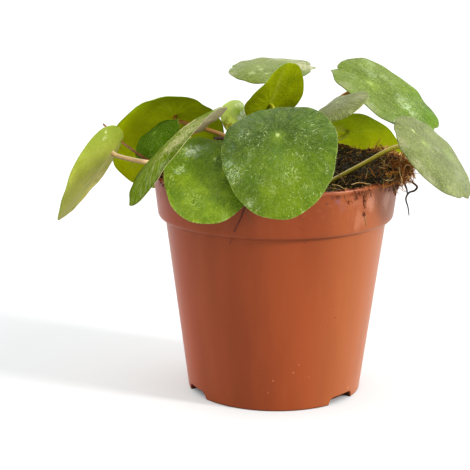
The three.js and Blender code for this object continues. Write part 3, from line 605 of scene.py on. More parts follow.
def pot_finish():
    """Terracotta-coloured moulded plastic: fine grain, soft clouds of colour, stains, dusty collar, painted
    light on its right and left sides, and painted shade in the foot's recess and along its bottom edge.
    """
    f = Finish("terracotta_plastic")
    place = f.object_place()
    z = f.split(place)[2]
    grain = f.noise(place, 1.8, 4.0, 0.6)
    cloud = f.noise(f.vector("MULTIPLY", place, (1.0, 1.0, 0.15)), 0.06, 3.0, 0.5)
    scuff = f.noise(f.vector("MULTIPLY", place, (0.3, 0.3, 1.6)), 0.6, 5.0, 0.7, 0.4)
    smear = f.noise(f.vector("MULTIPLY", place, (1.0, 1.0, 0.3)), 0.35, 4.0, 0.65)
    from_axis = f.vector("MULTIPLY", f.vector("SUBTRACT", place, tuple(POT_AXIS / MM)), (1.0, 1.0, 0.0))
    radius = f.distance(from_axis, (0.0, 0.0, 0.0))
    right_side = f.number("ShaderNodeVectorMath", {0: from_axis, 1: (0.97, -0.24, 0.0)}, "Value",
                          operation="DOT_PRODUCT") / radius
    recess_shade = f.step(radius, FOOT_RADIUS - 0.5, FOOT_RADIUS - 0.9) * f.step(z, 5.4, 5.0)
    collar = f.step(z, 86.5, 90.0)
    dusty = f.step(z, 90.0, 108.0) * f.step(f.noise(place, 0.3, 5.0, 0.7), 0.5, 0.7)
    clay = f.coated(f.mix(f.step(cloud, 0.3, 0.72), "7f3b18", "8a431e"), [
        # Painted light: paler tan on the sunlit right side, standing for its broad reflection.
        (f.step(right_side, 0.35, 0.97, 0.0, 0.15), "b08450"),
        # Painted warm light: redder on the shaded left side, more so on the collar.
        (f.step(right_side, -0.45, -0.95, 0.0, f.step(z, 86.0, 88.0, 0.4, 0.75)), "a4401a"),
        # Painted shade inside the foot's recess.
        (recess_shade * 0.85, "3a150a"),
        # Painted shade along the bottom edge, where the pot meets the floor.
        (f.step(z, 0.9, 0.3, 0.0, 0.75), "47200f"),
        (f.step(grain, 0.5, 0.85, 0.0, 0.12), "b9694a"),
        (f.step(scuff, 0.66, 0.8, 0.0, 0.2), "c08468"),
        (collar * f.step(smear, 0.45, 0.75, 0.0, 0.35), "7f3c28"),
        (dusty * 0.2, "b4865c")])
    for azimuth, height, size, strength, tint in WALL_STAINS:
        spot = Vector(on_wall(azimuth, height)) + Vector(POT_AXIS / MM)
        ragged = (grain - 0.5) * (2.5 * size) + (smear - 0.5) * (2.0 * size)
        off = f.distance(place, tuple(spot)) + ragged
        clay = f.mix(f.step(off, size, size * 0.3, 0.0, strength), clay, tint)
    specks = f.node("ShaderNodeTexVoronoi", {"Vector": place, "Scale": 0.13}).outputs
    chance = f.split(specks["Color"], "Color")
    speck = f.step(specks["Distance"], 0.04, 0.02) * f.math("LESS_THAN", chance[0], 0.1)
    speck_tint = f.mix(f.math("GREATER_THAN", chance[1], 0.6), "5a2c1a", "b58068")
    clay = f.mix(speck * 0.6, clay, speck_tint)
    roughness = f.step(grain, 0.2, 0.8, 0.3, 0.38) + dusty * 0.25
    height = grain * 0.4 + cloud * 2.0 + smear * (collar * 0.8)
    return f.surface(clay, roughness, f.bump(height, 0.07), Specular_IOR_Level=0.28,
                     Subsurface_Weight=0.03, Subsurface_Radius=(1.0, 0.35, 0.15), Subsurface_Scale=1.5 * MM)


def earth_finish(name, dark, mid, light, toned=True):
    """Potting mix and what it holds: dark and damp. A toned one has one shade for each crumb or fibre."""
    f = Finish(name)
    place = f.object_place()
    grain = f.noise(place, 1.4, 6.0, 0.7)
    lump = f.noise(place, 0.25, 4.0, 0.6)
    if toned:
        tone = f.kept("tone")
        coats = [(f.step(tone, 0.0, 0.6), mid), (f.step(tone, 0.62, 1.0), light),
                 (f.step(grain, 0.4, 0.7, 0.0, 0.35), dark)]
    else:
        coats = [(f.step(grain, 0.42, 0.66), mid), (f.step(grain * lump, 0.3, 0.42, 0.0, 0.7), light)]
    colour = f.coated(dark, coats)
    return f.surface(colour, f.step(grain, 0.3, 0.7, 0.95, 0.6), f.bump(grain + lump * 1.5, 0.5))


def bark_finish(name, dark, mid, light):
    """Stem, roots and dried stalks: papery brown skin with dark cracks along it."""
    f = Finish(name)
    place = f.object_place()
    fibre = f.noise(f.vector("MULTIPLY", place, (1.0, 1.0, 0.3)), 1.3, 5.0, 0.65, 0.3)
    blotch = f.noise(place, 0.3, 3.0)
    colour = f.mix(f.step(fibre, 0.35, 0.65), dark, mid)
    colour = f.mix(f.step(blotch, 0.5, 0.75, 0.0, 0.6), colour, light)
    return f.surface(colour, f.step(fibre, 0.3, 0.7, 0.85, 0.6), f.bump(fibre, 0.35))


# Meshes: points in millimetres made into pieces.

SHARP_EDGE = math.radians(50)
POT_SHARP_EDGE = math.radians(35)


def shown(name, data):
    """A new object with this data, put in the scene."""
    thing = bpy.data.objects.new(name, data)
    bpy.context.scene.collection.objects.link(thing)
    return thing


def baked(piece):
    """The piece's mesh with its modifiers applied."""
    return bpy.data.meshes.new_from_object(piece.evaluated_get(bpy.context.evaluated_depsgraph_get()))


def remove(things):
    for thing in things:
        bpy.data.objects.remove(thing)


def new_piece(name, vertices, faces, finishes, numbers=None, face_finish=None, smooth=True):
    """An object from points in millimetres on the pot's axis. numbers holds values kept at its points."""
    mesh = bpy.data.meshes.new(name)
    points = np.asarray(vertices, float) * MM + POT_AXIS
    mesh.from_pydata(points.tolist(), [], faces)
    mesh.update()
    shell = bmesh.new()
    shell.from_mesh(mesh)
    bmesh.ops.recalc_face_normals(shell, faces=shell.faces)
    shell.to_mesh(mesh)
    shell.free()
    for finish in finishes:
        mesh.materials.append(finish)
    for key, values in (numbers or {}).items():
        values = np.asarray(values, np.float32)
        kind, field = ("FLOAT_VECTOR", "vector") if values.ndim == 2 else ("FLOAT", "value")
        mesh.attributes.new(key, kind, "POINT").data.foreach_set(field, values.ravel())
    if face_finish is not None:
        mesh.polygons.foreach_set("material_index", np.asarray(face_finish, np.int32))
    if smooth:
        mesh.shade_smooth()
        mesh.set_sharp_from_angle(angle=SHARP_EDGE)
    return shown(name, mesh)


def settle(piece, slot, *nodes):
    """The piece rides with the plant and stands for these nodes. Its slot is not used."""
    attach(piece, "root")
    if nodes:
        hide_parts(*nodes)
    return piece


def smooth_way(points, steps):
    """Points along a centripetal Catmull-Rom curve through the given ones."""
    p = [Vector(q) for q in points]
    p = [2 * p[0] - p[1]] + p + [2 * p[-1] - p[-2]]
    count = len(points) - 1
    way = []
    for k in range(steps + 1):
        t = k / steps * count
        i = min(int(t), count - 1)
        w = t - i
        p0, p1, p2, p3 = p[i:i + 4]
        d0, d1, d2 = [max((b - a).length ** 0.5, 1e-4) for a, b in ((p0, p1), (p1, p2), (p2, p3))]
        m1 = ((p1 - p0) / d0 - (p2 - p0) / (d0 + d1) + (p2 - p1) / d1) * d1
        m2 = ((p2 - p1) / d1 - (p3 - p1) / (d1 + d2) + (p3 - p2) / d2) * d1
        way.append(p1 + m1 * w + (3 * (p2 - p1) - 2 * m1 - m2) * w ** 2 + (2 * (p1 - p2) + m1 + m2) * w ** 3)
    return way


def add_shape(vertices, faces, more_vertices, more_faces):
    """Adds one more shape to the points and faces of a piece."""
    start = len(vertices)
    vertices += more_vertices
    faces += [tuple(start + v for v in face) for face in more_faces]


def tube(way, radii, sides):
    """A closed round tube: its vertices, its faces, and the share of the way and the upward lean at each."""
    vertices, faces, shares, leans = [], [], [], []
    normal = None
    for k, point in enumerate(way):
        ahead = (way[min(k + 1, len(way) - 1)] - way[max(k - 1, 0)]).normalized()
        if normal is None:
            normal = ahead.orthogonal().normalized()
        normal = (normal - ahead * normal.dot(ahead)).normalized()
        side = ahead.cross(normal)
        for i in range(sides):
            angle = 2 * math.pi * i / sides
            outward = normal * math.cos(angle) + side * math.sin(angle)
            vertices.append(point + outward * radii[k])
            shares.append(k / (len(way) - 1))
            leans.append(outward.z)
    for k in range(len(way) - 1):
        for i in range(sides):
            j = (i + 1) % sides
            faces.append((k * sides + i, k * sides + j, (k + 1) * sides + j, (k + 1) * sides + i))
    faces.append(tuple(reversed(range(sides))))
    last = (len(way) - 1) * sides
    faces.append(tuple(last + i for i in range(sides)))
    return vertices, faces, shares, leans


# Leaves: each blade and its stalk as one closed piece.

BLADE_ANGLES = 168
BLADE_RINGS = 30
EDGE_THINNING = 0.45
VEIN_SWELL = 0.13
EDGE_RIPPLE = 0.14
BLADE_ROUGHNESS = 0.5
STALK_STEPS = 64
STALK_SIDES = 14


def outline_radius(leaf, angle):
    a, b = leaf["length"] / 2, leaf["width"] / 2
    off = leaf["joint"] * a
    c, s = np.cos(angle), np.sin(angle)
    qa = (c / a) ** 2 + (s / b) ** 2
    qb = -2 * off * c / a ** 2
    qc = (off / a) ** 2 - 1
    ellipse = (-qb + np.sqrt(qb * qb - 4 * qa * qc)) / (2 * qa)
    reach = ellipse * (1 + leaf["lobe"] * np.cos(3 * angle))
    phase = leaf["turn"] + leaf["facing"]
    reach = reach * (1 + 0.006 * np.sin(9 * angle + phase) + 0.004 * np.sin(16 * angle + 2 * phase))
    for at, depth, width in leaf["nicks"]:
        away = (np.degrees(angle) - at + 180) % 360 - 180
        reach = reach * (1 - depth * np.exp(-(away / width) ** 2))
    return reach


def blade_middle(leaf, share, angle):
    """The blade's middle surface on its own axes, in millimetres."""
    c, s = np.cos(angle), np.sin(angle)
    reach = outline_radius(leaf, angle)
    tip, base, left, right = leaf["droop"]
    curl = np.radians(np.where(c > 0, tip, base) * c * c + np.where(s > 0, left, right) * s * s)
    curl = np.where(np.abs(curl) < 1e-3, 1e-3, curl)
    bend = curl / reach
    height, count, phase = leaf["wave"]
    z = (np.cos(curl * share) - 1) / bend + height * share ** 3 * np.sin(count * angle + math.radians(phase))
    x = np.sin(curl * share) / bend * c
    y = np.sin(curl * share) / bend * s
    fold = math.radians(leaf["fold"])
    z = z + math.sin(fold) * (np.hypot(y, FOLD_ROUND) - FOLD_ROUND)
    return np.stack([x, y * math.cos(fold), z], -1)


def leaf_place(leaf):
    turn = Matrix.Rotation(math.radians(leaf["turn"]), 4, "Z")
    tilt = Matrix.Rotation(math.radians(leaf["tilt"]), 4, "Y")
    facing = Matrix.Rotation(math.radians(leaf["facing"]), 4, "Z")
    return Matrix.Translation(leaf["at"]) @ facing @ tilt @ turn


def blade_skin(leaf, seed):
    """The blade on its own axes: vertices, faces, and each vertex's place on the flat blade and its side."""
    angle = np.linspace(0, 2 * math.pi, BLADE_ANGLES, endpoint=False)[None, :]
    share = (np.arange(1, BLADE_RINGS + 1) / BLADE_RINGS)[:, None] ** 0.9
    middle = blade_middle(leaf, share, angle)
    h = 0.01
    across = blade_middle(leaf, share, angle + h) - blade_middle(leaf, share, angle - h)
    along = blade_middle(leaf, share + h, angle) - blade_middle(leaf, share - h, angle)
    normal = np.cross(along, across)
    normal /= np.linalg.norm(normal, axis=-1, keepdims=True)
    reach = outline_radius(leaf, angle)
    flat = np.stack([reach * share * np.cos(angle), reach * share * np.sin(angle),
                     np.broadcast_to(share, (BLADE_RINGS, BLADE_ANGLES))], -1)
    # The blade swells a little between its main veins, and its edge waves finely.
    phase = random.Random(seed).uniform(0, 6.3)
    swell = VEIN_SWELL * np.sin(np.pi * share) ** 2 * np.cos(9 * angle + phase) ** 2
    ripple = EDGE_RIPPLE * share ** 4 * (np.sin(11 * angle + phase) + np.sin(7 * angle + 2 * phase))
    rough = np.array([[noise.noise(Vector((p[0] * 0.12, p[1] * 0.12, seed))) for p in row] for row in flat])
    lift = ((swell + ripple + BLADE_ROUGHNESS * rough * share) * leaf["length"] / 55)[..., None]
    half = (BLADE_THICKNESS / 2 * (1.0 - EDGE_THINNING * share ** 3))[..., None]
    upper = middle + normal * (lift + half)
    lower = middle + normal * (lift - half)
    outward = along[-1] / np.linalg.norm(along[-1], axis=-1, keepdims=True)
    rim = middle[-1] + normal[-1] * lift[-1] + outward * half[-1] * 0.8

    vertices = [(0, 0, BLADE_THICKNESS / 2)] + upper.reshape(-1, 3).tolist() + rim.tolist()
    under_first = len(vertices)
    vertices += lower[::-1].reshape(-1, 3).tolist() + [(0, 0, -BLADE_THICKNESS / 2)]
    place = [(0, 0, 0)] + flat.reshape(-1, 3).tolist() + flat[-1].tolist()
    place += flat[::-1].reshape(-1, 3).tolist() + [(0, 0, 0)]
    underside = [0.0] * (1 + BLADE_RINGS * BLADE_ANGLES) + [0.3] * BLADE_ANGLES
    underside += [1.0] * (len(vertices) - under_first)
    rows = 2 * BLADE_RINGS + 1
    faces = []
    for i in range(BLADE_ANGLES):
        j = (i + 1) % BLADE_ANGLES
        faces.append((0, 1 + i, 1 + j))
        for r in range(rows - 1):
            a, b = 1 + r * BLADE_ANGLES, 1 + (r + 1) * BLADE_ANGLES
            faces.append((a + i, b + i, b + j, a + j))
        last = 1 + (rows - 1) * BLADE_ANGLES
        faces.append((last + i, len(vertices) - 1, last + j))
    return vertices, faces, place, underside


def build_leaf(leaf, seed):
    """The blade and its stalk, joined in one piece with a finish for each."""
    vertices, faces, place, underside = blade_skin(leaf, seed)
    blade_faces = len(faces)
    matrix = leaf_place(leaf)
    vertices = [matrix @ Vector(v) for v in vertices]
    seat = matrix @ Vector((0, 0, -STALK_SEAT))
    way = smooth_way(leaf["way"] + [tuple(seat), leaf["at"]], STALK_STEPS)
    radii = []
    for k in range(len(way)):
        t = k / (len(way) - 1)
        swelling = 0.3 * math.exp(-((1 - t) / 0.03) ** 2) + 0.25 * math.exp(-(t / 0.08) ** 2)
        radii.append(leaf["radius"] * (1 + swelling + 0.05 * noise.noise(Vector((k * 0.3, seed, 0)))))
    rod, rod_faces, shares, leans = tube(way, radii, STALK_SIDES)
    blank = [0.0] * len(vertices)
    add_shape(vertices, faces, rod, rod_faces)
    numbers = {"blade_place": place + [(0, 0, 0)] * len(rod), "underside": underside + [1.0] * len(rod),
               "along": blank + shares, "topside": blank + leans}
    finishes = [leaf_finish(leaf, seed), stalk_finish(leaf["name"], leaf["stalk"])]
    piece = new_piece(leaf["name"].replace("leaf_", "") + "_leaf", vertices, faces, finishes, numbers,
                      [0] * blade_faces + [1] * len(rod_faces))
    return settle(piece, "leaf", leaf["name"])


# Pot: a turned shell, then the notches of its foot and its drainage holes.

POT_SIDES = 216
# The rounded bead of the rim: how far out of the rim's radius and below its top each point lies.
RIM_BEAD = [(0.2, 1.9), (0.4, 1.4), (0.4, 0.8), (0.2, 0.25), (-0.15, 0.02), (-0.55, 0),
            (0.15 - POT_WALL, 0.06), (-POT_WALL, 0.4)]


def ring_mesh(rings, first=None, last=None):
    """Faces of a closed skin over rings of equal count, with a point at either end."""
    count = len(rings[0])
    vertices = ([first] if first is not None else []) + [v for ring in rings for v in ring]
    base = 1 if first is not None else 0
    faces = []
    for r in range(len(rings) - 1):
        a, b = base + r * count, base + (r + 1) * count
        for i in range(count):
            j = (i + 1) % count
            faces.append((a + i, b + i, b + j, a + j))
    if first is not None:
        faces += [(0, base + i, base + (i + 1) % count) for i in range(count)]
    if last is not None:
        vertices.append(last)
        a = base + (len(rings) - 1) * count
        faces += [(a + (i + 1) % count, a + i, len(vertices) - 1) for i in range(count)]
    return vertices, faces


def circle(radius, z, count=POT_SIDES):
    turn = [2 * math.pi * i / count for i in range(count)]
    return [(radius * math.cos(a), radius * math.sin(a), z) for a in turn]


def block(name, near, far):
    """A closed block between two equal rings of points."""
    count = len(near)
    vertices, faces = ring_mesh([near, far])
    faces += [tuple(range(count)), tuple(range(2 * count - 1, count - 1, -1))]
    return new_piece(name, vertices, faces, [], smooth=False)


def pot_profile():
    """Radius and height of the pot's skin, from under its floor up the outside and down the inside."""
    foot = FOOT_RADIUS - FOOT_THICKNESS
    profile = [(foot, FLOOR_Z - POT_WALL), (foot, 0.25), (foot + 0.25, 0), (FOOT_RADIUS - 0.35, 0),
               (body_radius(0.4), 0.4)]
    profile += [(body_radius(z), z) for z in np.linspace(2, COLLAR_LOW_Z - 0.3, 30)]
    low = COLLAR_LOW_RADIUS
    profile += [(BODY_TOP_RADIUS + 0.25, COLLAR_LOW_Z - 0.02), (low - 1.6, COLLAR_LOW_Z),
                (low - 0.75, COLLAR_LOW_Z + 0.2), (low - 0.2, COLLAR_LOW_Z + 0.75),
                (collar_radius(COLLAR_LOW_Z + 1.6), COLLAR_LOW_Z + 1.6)]
    profile += [(collar_radius(z), z) for z in np.linspace(COLLAR_LOW_Z + 3, POT_HEIGHT - 2.5, 12)]
    profile += [(collar_radius(POT_HEIGHT - 2.2) + 0.05, POT_HEIGHT - 2.2)]
    profile += [(RIM_RADIUS + out, POT_HEIGHT - down) for out, down in RIM_BEAD]
    profile += [(collar_radius(z) - POT_WALL, z) for z in np.linspace(POT_HEIGHT - 2, COLLAR_LOW_Z + 1.8, 8)]
    profile += [(BODY_TOP_RADIUS - POT_WALL, COLLAR_LOW_Z + 1.8), (body_radius(FLOOR_Z) - POT_WALL, FLOOR_Z)]
    return profile


def build_pot():
    under_floor = FLOOR_Z - POT_WALL
    rings = [circle(r, z) for r, z in reversed(pot_profile())]
    vertices, faces = ring_mesh(rings, (0, 0, FLOOR_Z), (0, 0, under_floor))
    pot = new_piece("nursery_pot", vertices, faces, [pot_finish()], smooth=False)
    blocks, cutters = [], []
    half = FOOT_RADIUS * math.sin(math.radians(NOTCH_DEGREES / 2))
    side = half + 1.2
    plan = [(POCKET_RADIUS - POCKET_WALL, -side), (POCKET_OUTER_RADIUS, -side), (POCKET_OUTER_RADIUS, side),
            (POCKET_RADIUS - POCKET_WALL, side)]
    bends = [math.radians(15 * k) for k in range(7)]
    outline = [(-half, -4)] + [(-half + NOTCH_CORNER * (1 - math.cos(a)),
                                NOTCH_HEIGHT - NOTCH_CORNER * (1 - math.sin(a))) for a in bends]
    outline += [(-y, z) for y, z in reversed(outline)]
    for facing in NOTCH_FACINGS:
        turn = Matrix.Rotation(math.radians(facing), 3, "Z")
        low, high = [[turn @ Vector((x, y, z)) for x, y in plan] for z in (0.15, under_floor + 0.6)]
        blocks.append(block("pocket_wall", low, high))
        far, near = [[turn @ Vector((x, y, z)) for y, z in outline]
                     for x in (FOOT_RADIUS + FOOT_THICKNESS, POCKET_RADIUS)]
        cutters.append(block("notch", far, near))
    for i in range(DRAIN_HOLES):
        turn = Matrix.Rotation(2 * math.pi * i / DRAIN_HOLES, 3, "Z")
        low, high = [[turn @ (Vector(v) + Vector((DRAIN_RING_RADIUS, 0, 0)))
                      for v in circle(DRAIN_RADIUS, z, DRAIN_SIDES)] for z in (FLOOR_Z - 4, FLOOR_Z + 4)]
        cutters.append(block("drain", low, high))
    for shapes, operation in ((blocks, "UNION"), (cutters, "DIFFERENCE")):
        for shape in shapes:
            change = pot.modifiers.new("change", "BOOLEAN")
            change.operation = operation
            change.object = shape
            change.solver = "EXACT"
    mesh = baked(pot)
    pot.modifiers.clear()
    pot.data = mesh
    remove(blocks + cutters)
    mesh.shade_smooth()
    mesh.set_sharp_from_angle(angle=POT_SHARP_EDGE)
    return settle(pot, "pot_plastic", "pot")


# Potting mix: its block, and the loose bits that are strewn over it.

MIX_ANGLES = 240
MIX_RINGS = 64


def smooth_step(value, low, high):
    t = min(max((value - low) / (high - low), 0.0), 1.0)
    return t * t * (3 - 2 * t)


def clump_share(angle):
    away = (math.degrees(angle) - CLUMP_FACING + 180) % 360 - 180
    share = abs(away) / (CLUMP_HALF_WIDTH if away > 0 else CLUMP_FRONT_WIDTH)
    return math.cos(share * math.pi / 2) ** 0.7 if share < 1 else 0.0


def mix_height(x, y):
    lumps = math.sin(x / 7 + 2) * math.cos(y / 8) + 0.6 * math.sin(x / 4 - y / 5)
    fall = MIX_SIDE_FALL * smooth_step(abs(x - MIX_HEAP_X), 10, RIM_RADIUS)
    heap = smooth_step(y, -20, 50) * (MIX_BACK_RISE - fall)
    clump = min(1.0, 3 * clump_share(math.atan2(y, x))) * smooth_step(math.hypot(x, y), 35, 56)
    level = MIX_FRONT_LEVEL + heap
    return level + (CLUMP_LEVEL - level) * clump + MIX_LUMP * lumps


def crumbly(x, y, z, scale, seed):
    return noise.fractal(Vector((x / scale, y / scale, z / scale + seed)), 0.7, 2.1, 4)


def build_mix(finish):
    """The block of mix, its surface broken into crumbs. Its points keep where loose bits and coir lie."""
    inner = RIM_RADIUS - POT_WALL - MIX_GAP
    rings, weights = [], []
    angles = [2 * math.pi * i / MIX_ANGLES for i in range(MIX_ANGLES)]
    for k in range(1, MIX_RINGS + 1):
        share = k / MIX_RINGS
        ring, weight = [], []
        for a in angles:
            edge = inner + CLUMP_REACH * clump_share(a)
            r = share * edge
            x, y = r * math.cos(a), r * math.sin(a)
            z = mix_height(x, y) + MIX_COARSE * crumbly(x, y, 0, 5.0, 3.0)
            z += MIX_FINE * crumbly(x, y, 0, 1.6, 9.0)
            z -= MIX_EDGE_DROP * share ** 24
            ring.append((x, y, z))
            weight.append(1.0 + 2.2 * clump_share(a) * smooth_step(share, 0.72, 0.9))
        rings.append(ring)
        weights.append(weight)
    # The overhang, ring by ring down its front.
    for lost, drop, fall, density in [(-0.12, 0.15, 0.5, 3.4), (0.0, 0.45, 1.0, 3.4), (0.15, 0.75, 1.6, 3.4),
                                      (0.35, 1.0, 2.2, 3.0), (0.7, 1.1, 2.8, 0.0)]:
        ring = []
        for a in angles:
            c = clump_share(a)
            r = inner + CLUMP_REACH * c * (1 - lost)
            x, y = r * math.cos(a), r * math.sin(a)
            bulge = c * (1.6 * crumbly(60 * a, fall * 3, 0, 4.0, 5.0) + 0.4)
            top = mix_height(x, y) - MIX_EDGE_DROP
            z = top - fall - drop * CLUMP_DROP * c + c * 1.2 * crumbly(60 * a, fall, 4, 3.0, 2.0)
            ring.append(((r + bulge) * math.cos(a), (r + bulge) * math.sin(a), z))
        rings.append(ring)
        weights.append([density * min(1.0, 3 * clump_share(a)) for a in angles])
    for z in (97.0, COLLAR_LOW_Z + 2.6):
        rings.append(circle(collar_radius(z) - 1.6, z, MIX_ANGLES))
    for z in (COLLAR_LOW_Z + 2.2, MIX_BOTTOM):
        rings.append(circle(body_radius(min(z, COLLAR_LOW_Z)) - 1.7, z, MIX_ANGLES))
    weights += [[0.0] * MIX_ANGLES] * 4
    middle = (0, 0, mix_height(0, 0))
    vertices, faces = ring_mesh(rings, middle, (0, 0, MIX_BOTTOM))
    values = [1.0] + [w for row in weights for w in row] + [0.0]
    shares = [0.0] + [clump_share(a) * smooth_step(k / MIX_RINGS, 0.8, 1.0) for k in range(1, len(rings) + 1)
                      for a in angles] + [0.0]
    return new_piece("potting_mix_block", vertices, faces, [finish], {"loose": values, "coir": shares})


def crumb_shape(name, seed, stretch):
    """A small broken crumb or flake of 20 faces."""
    rng = random.Random(seed)
    t = (1 + 5 ** 0.5) / 2
    corners = [(-1, t, 0), (1, t, 0), (-1, -t, 0), (1, -t, 0), (0, -1, t), (0, 1, t), (0, -1, -t),
               (0, 1, -t), (t, 0, -1), (t, 0, 1), (-t, 0, -1), (-t, 0, 1)]
    faces = [(0, 11, 5), (0, 5, 1), (0, 1, 7), (0, 7, 10), (0, 10, 11), (1, 5, 9), (5, 11, 4), (11, 10, 2),
             (10, 7, 6), (7, 1, 8), (3, 9, 4), (3, 4, 2), (3, 2, 6), (3, 6, 8), (3, 8, 9), (4, 9, 5),
             (2, 4, 11), (6, 2, 10), (8, 6, 7), (9, 8, 1)]
    points = []
    for c in corners:
        v = Vector(c).normalized() * rng.uniform(0.7, 1.25)
        points.append(Vector((v.x * stretch[0], v.y * stretch[1], v.z * stretch[2])) * 0.5 * MM)
    mesh = bpy.data.meshes.new(name)
    mesh.from_pydata(points, [], faces)
    return bpy.data.objects.new(name, mesh)


def fibre_shape(name, seed, length, radius, curl, lift):
    """A thin curling fibre or root hair, from its length and radius in millimetres, its curl and its rise."""
    rng = random.Random(seed)
    points, heading, pitch = [Vector((0, 0, 0))], rng.uniform(-0.4, 0.4), lift
    steps = 9
    turn = rng.uniform(-curl, curl)
    for _ in range(steps):
        heading += turn + rng.uniform(-curl, curl) * 0.6
        pitch += rng.uniform(-0.3, 0.22)
        flat = math.cos(pitch)
        step = Vector((math.cos(heading) * flat, math.sin(heading) * flat, math.sin(pitch)))
        points.append(points[-1] + step * length / steps)
    centre = points[len(points) // 2].copy()
    way = [p - Vector((centre.x, centre.y, 0)) for p in points]
    radii = [radius * (1 - 0.55 * abs(2 * k / steps - 1)) for k in range(steps + 1)]
    vertices, faces, _, _ = tube([p * MM for p in way], [r * MM for r in radii], 4)
    mesh = bpy.data.meshes.new(name)
    mesh.from_pydata(vertices, [], faces)
    mesh.shade_smooth()
    return bpy.data.objects.new(name, mesh)


def crumbs(name, count, first_seed, stretch):
    return [crumb_shape(f"{name}_{k}", first_seed + k, stretch) for k in range(count)]


def fibres(name, count, first_seed, length, radius, curl, lift):
    return [fibre_shape(f"{name}_{k}", first_seed + k, length, radius, curl, lift) for k in range(count)]


def build_bits(name, bits, finish):
    """Single crumbs, each given as its place and size, joined in one piece."""
    rng = random.Random(len(bits))
    shapes = crumbs("bit", 6, 200, (1.3, 0.8, 0.7))
    vertices, faces, tones = [], [], []
    for place, size in bits:
        shape = rng.choice(shapes).data
        turn = Matrix.Rotation(rng.uniform(0, 6.3), 3, Vector((rng.random(), rng.random(), 1)).normalized())
        add_shape(vertices, faces, [Vector(place) + turn @ v.co / MM * size for v in shape.vertices],
                  [face.vertices for face in shape.polygons])
        tones += [rng.random()] * len(shape.vertices)
    remove(shapes)
    return settle(new_piece(name, vertices, faces, [finish], {"tone": tones}, smooth=False), "mix")


def scatter_tree():
    """Spreads shapes over a surface: named inputs for how many, how big, how they lie and their finish."""
    tree = bpy.data.node_groups.new("scatter_bits", "GeometryNodeTree")
    sockets = [("Surface", "Geometry"), ("Shapes", "Collection"), ("Density", "Float"),
               ("Coir Only", "Float"), ("Seed", "Int"),
               ("Smallest", "Float"), ("Largest", "Float"), ("Lean", "Float"), ("Finish", "Material")]
    for key, kind in sockets:
        tree.interface.new_socket(key, in_out="INPUT", socket_type="NodeSocket" + kind)
    tree.interface.new_socket("Bits", in_out="OUTPUT", socket_type="NodeSocketGeometry")
    g = Finish("scatter", tree)
    given = g.node("NodeGroupInput").outputs
    loose, coir = [g.number("GeometryNodeInputNamedAttribute", {"Name": key}, data_type="FLOAT")
                   for key in ("loose", "coir")]
    allowed = g.number("ShaderNodeMix", {0: given["Coir Only"], 2: 1.0, 3: coir}, data_type="FLOAT")
    density = g.math("MULTIPLY", given["Density"], loose) * allowed
    spread = g.node("GeometryNodeDistributePointsOnFaces",
                    {"Mesh": given["Surface"], "Density": density, "Seed": given["Seed"]},
                    distribute_method="RANDOM")
    tone = g.node("FunctionNodeRandomValue", {2: 0.0, 3: 1.0, "Seed": given["Seed"]}, data_type="FLOAT")
    kept_tone = g.node("GeometryNodeStoreNamedAttribute",
                       {"Geometry": spread.outputs["Points"], "Name": "tone", "Value": tone.outputs[1]},
                       data_type="FLOAT", domain="POINT")
    shapes = g.node("GeometryNodeCollectionInfo",
                    {"Collection": given["Shapes"], "Separate Children": True, "Reset Children": True})
    lean = given["Lean"]
    back = g.math("MULTIPLY", lean, -1.0)
    low, high = g.joined(back, back, -math.pi), g.joined(lean, lean, math.pi)
    spin = g.node("FunctionNodeRandomValue", {0: low, 1: high, "Seed": 7}, data_type="FLOAT_VECTOR")
    spin = g.node("FunctionNodeEulerToRotation", {0: spin.outputs[0]}).outputs[0]
    turned = g.node("FunctionNodeRotateRotation", {0: spread.outputs["Rotation"], 1: spin},
                    rotation_space="LOCAL").outputs[0]
    size = g.node("FunctionNodeRandomValue", {2: given["Smallest"], 3: given["Largest"], "Seed": 11},
                  data_type="FLOAT").outputs[1]
    placed = g.node("GeometryNodeInstanceOnPoints",
                    {"Points": kept_tone.outputs[0], "Instance": shapes.outputs[0], "Pick Instance": True,
                     "Rotation": turned, "Scale": size})
    real = g.node("GeometryNodeRealizeInstances", {0: placed.outputs[0]})
    painted = g.node("GeometryNodeSetMaterial", {"Geometry": real.outputs[0], "Material": given["Finish"]})
    g.node("NodeGroupOutput", {0: painted.outputs[0]})
    return tree


SCATTER = scatter_tree()


def scatter(name, surface, shapes, density, coir, seed, smallest, largest, lean, finish):
    """Bits of mix over the surface, as one plain mesh that rides with the plant."""
    box = bpy.data.collections.new(name + "_shapes")
    for shape in shapes:
        box.objects.link(shape)
    carrier = shown(name + "_carrier", surface.data.copy())
    modifier = carrier.modifiers.new("scatter", "NODES")
    modifier.node_group = SCATTER
    values = {"Shapes": box, "Density": density, "Coir Only": coir, "Seed": seed, "Smallest": smallest,
              "Largest": largest, "Lean": lean, "Finish": finish}
    for item in SCATTER.interface.items_tree:
        if item.in_out == "INPUT" and item.name in values:
            modifier[item.identifier] = values[item.name]
    mesh = baked(carrier)
    carrier.modifiers.clear()
    remove([carrier] + shapes)
    bpy.data.collections.remove(box)
    return settle(shown(name, mesh), "mix")


def build_strands(name, strands, finish, sides=6):
    """Single roots and fibres, each given as its points and thickness, joined in one piece."""
    vertices, faces, tones = [], [], []
    for k, (points, radius) in enumerate(strands):
        way = smooth_way(points, 5 * len(points))
        radii = [radius * (1 - 0.6 * (i / (len(way) - 1)) ** 2) for i in range(len(way))]
        made, made_faces, _, _ = tube(way, radii, sides)
        add_shape(vertices, faces, made, made_faces)
        tones += [(k * 0.618) % 1.0] * len(made)
    return settle(new_piece(name, vertices, faces, [finish], {"tone": tones}), "mix")


def build_rod(name, way, radii, sides, finish, *nodes):
    """A stem or bare stalk along the way, one radius for each of its points."""
    vertices, faces, _, _ = tube(way, radii, sides)
    return settle(new_piece(name, vertices, faces, [finish]), "bark", *nodes)


# Building: every piece of the plant.

for number, leaf in enumerate(LEAVES):
    build_leaf(LEAF_USUAL | leaf, number + 1)

build_pot()

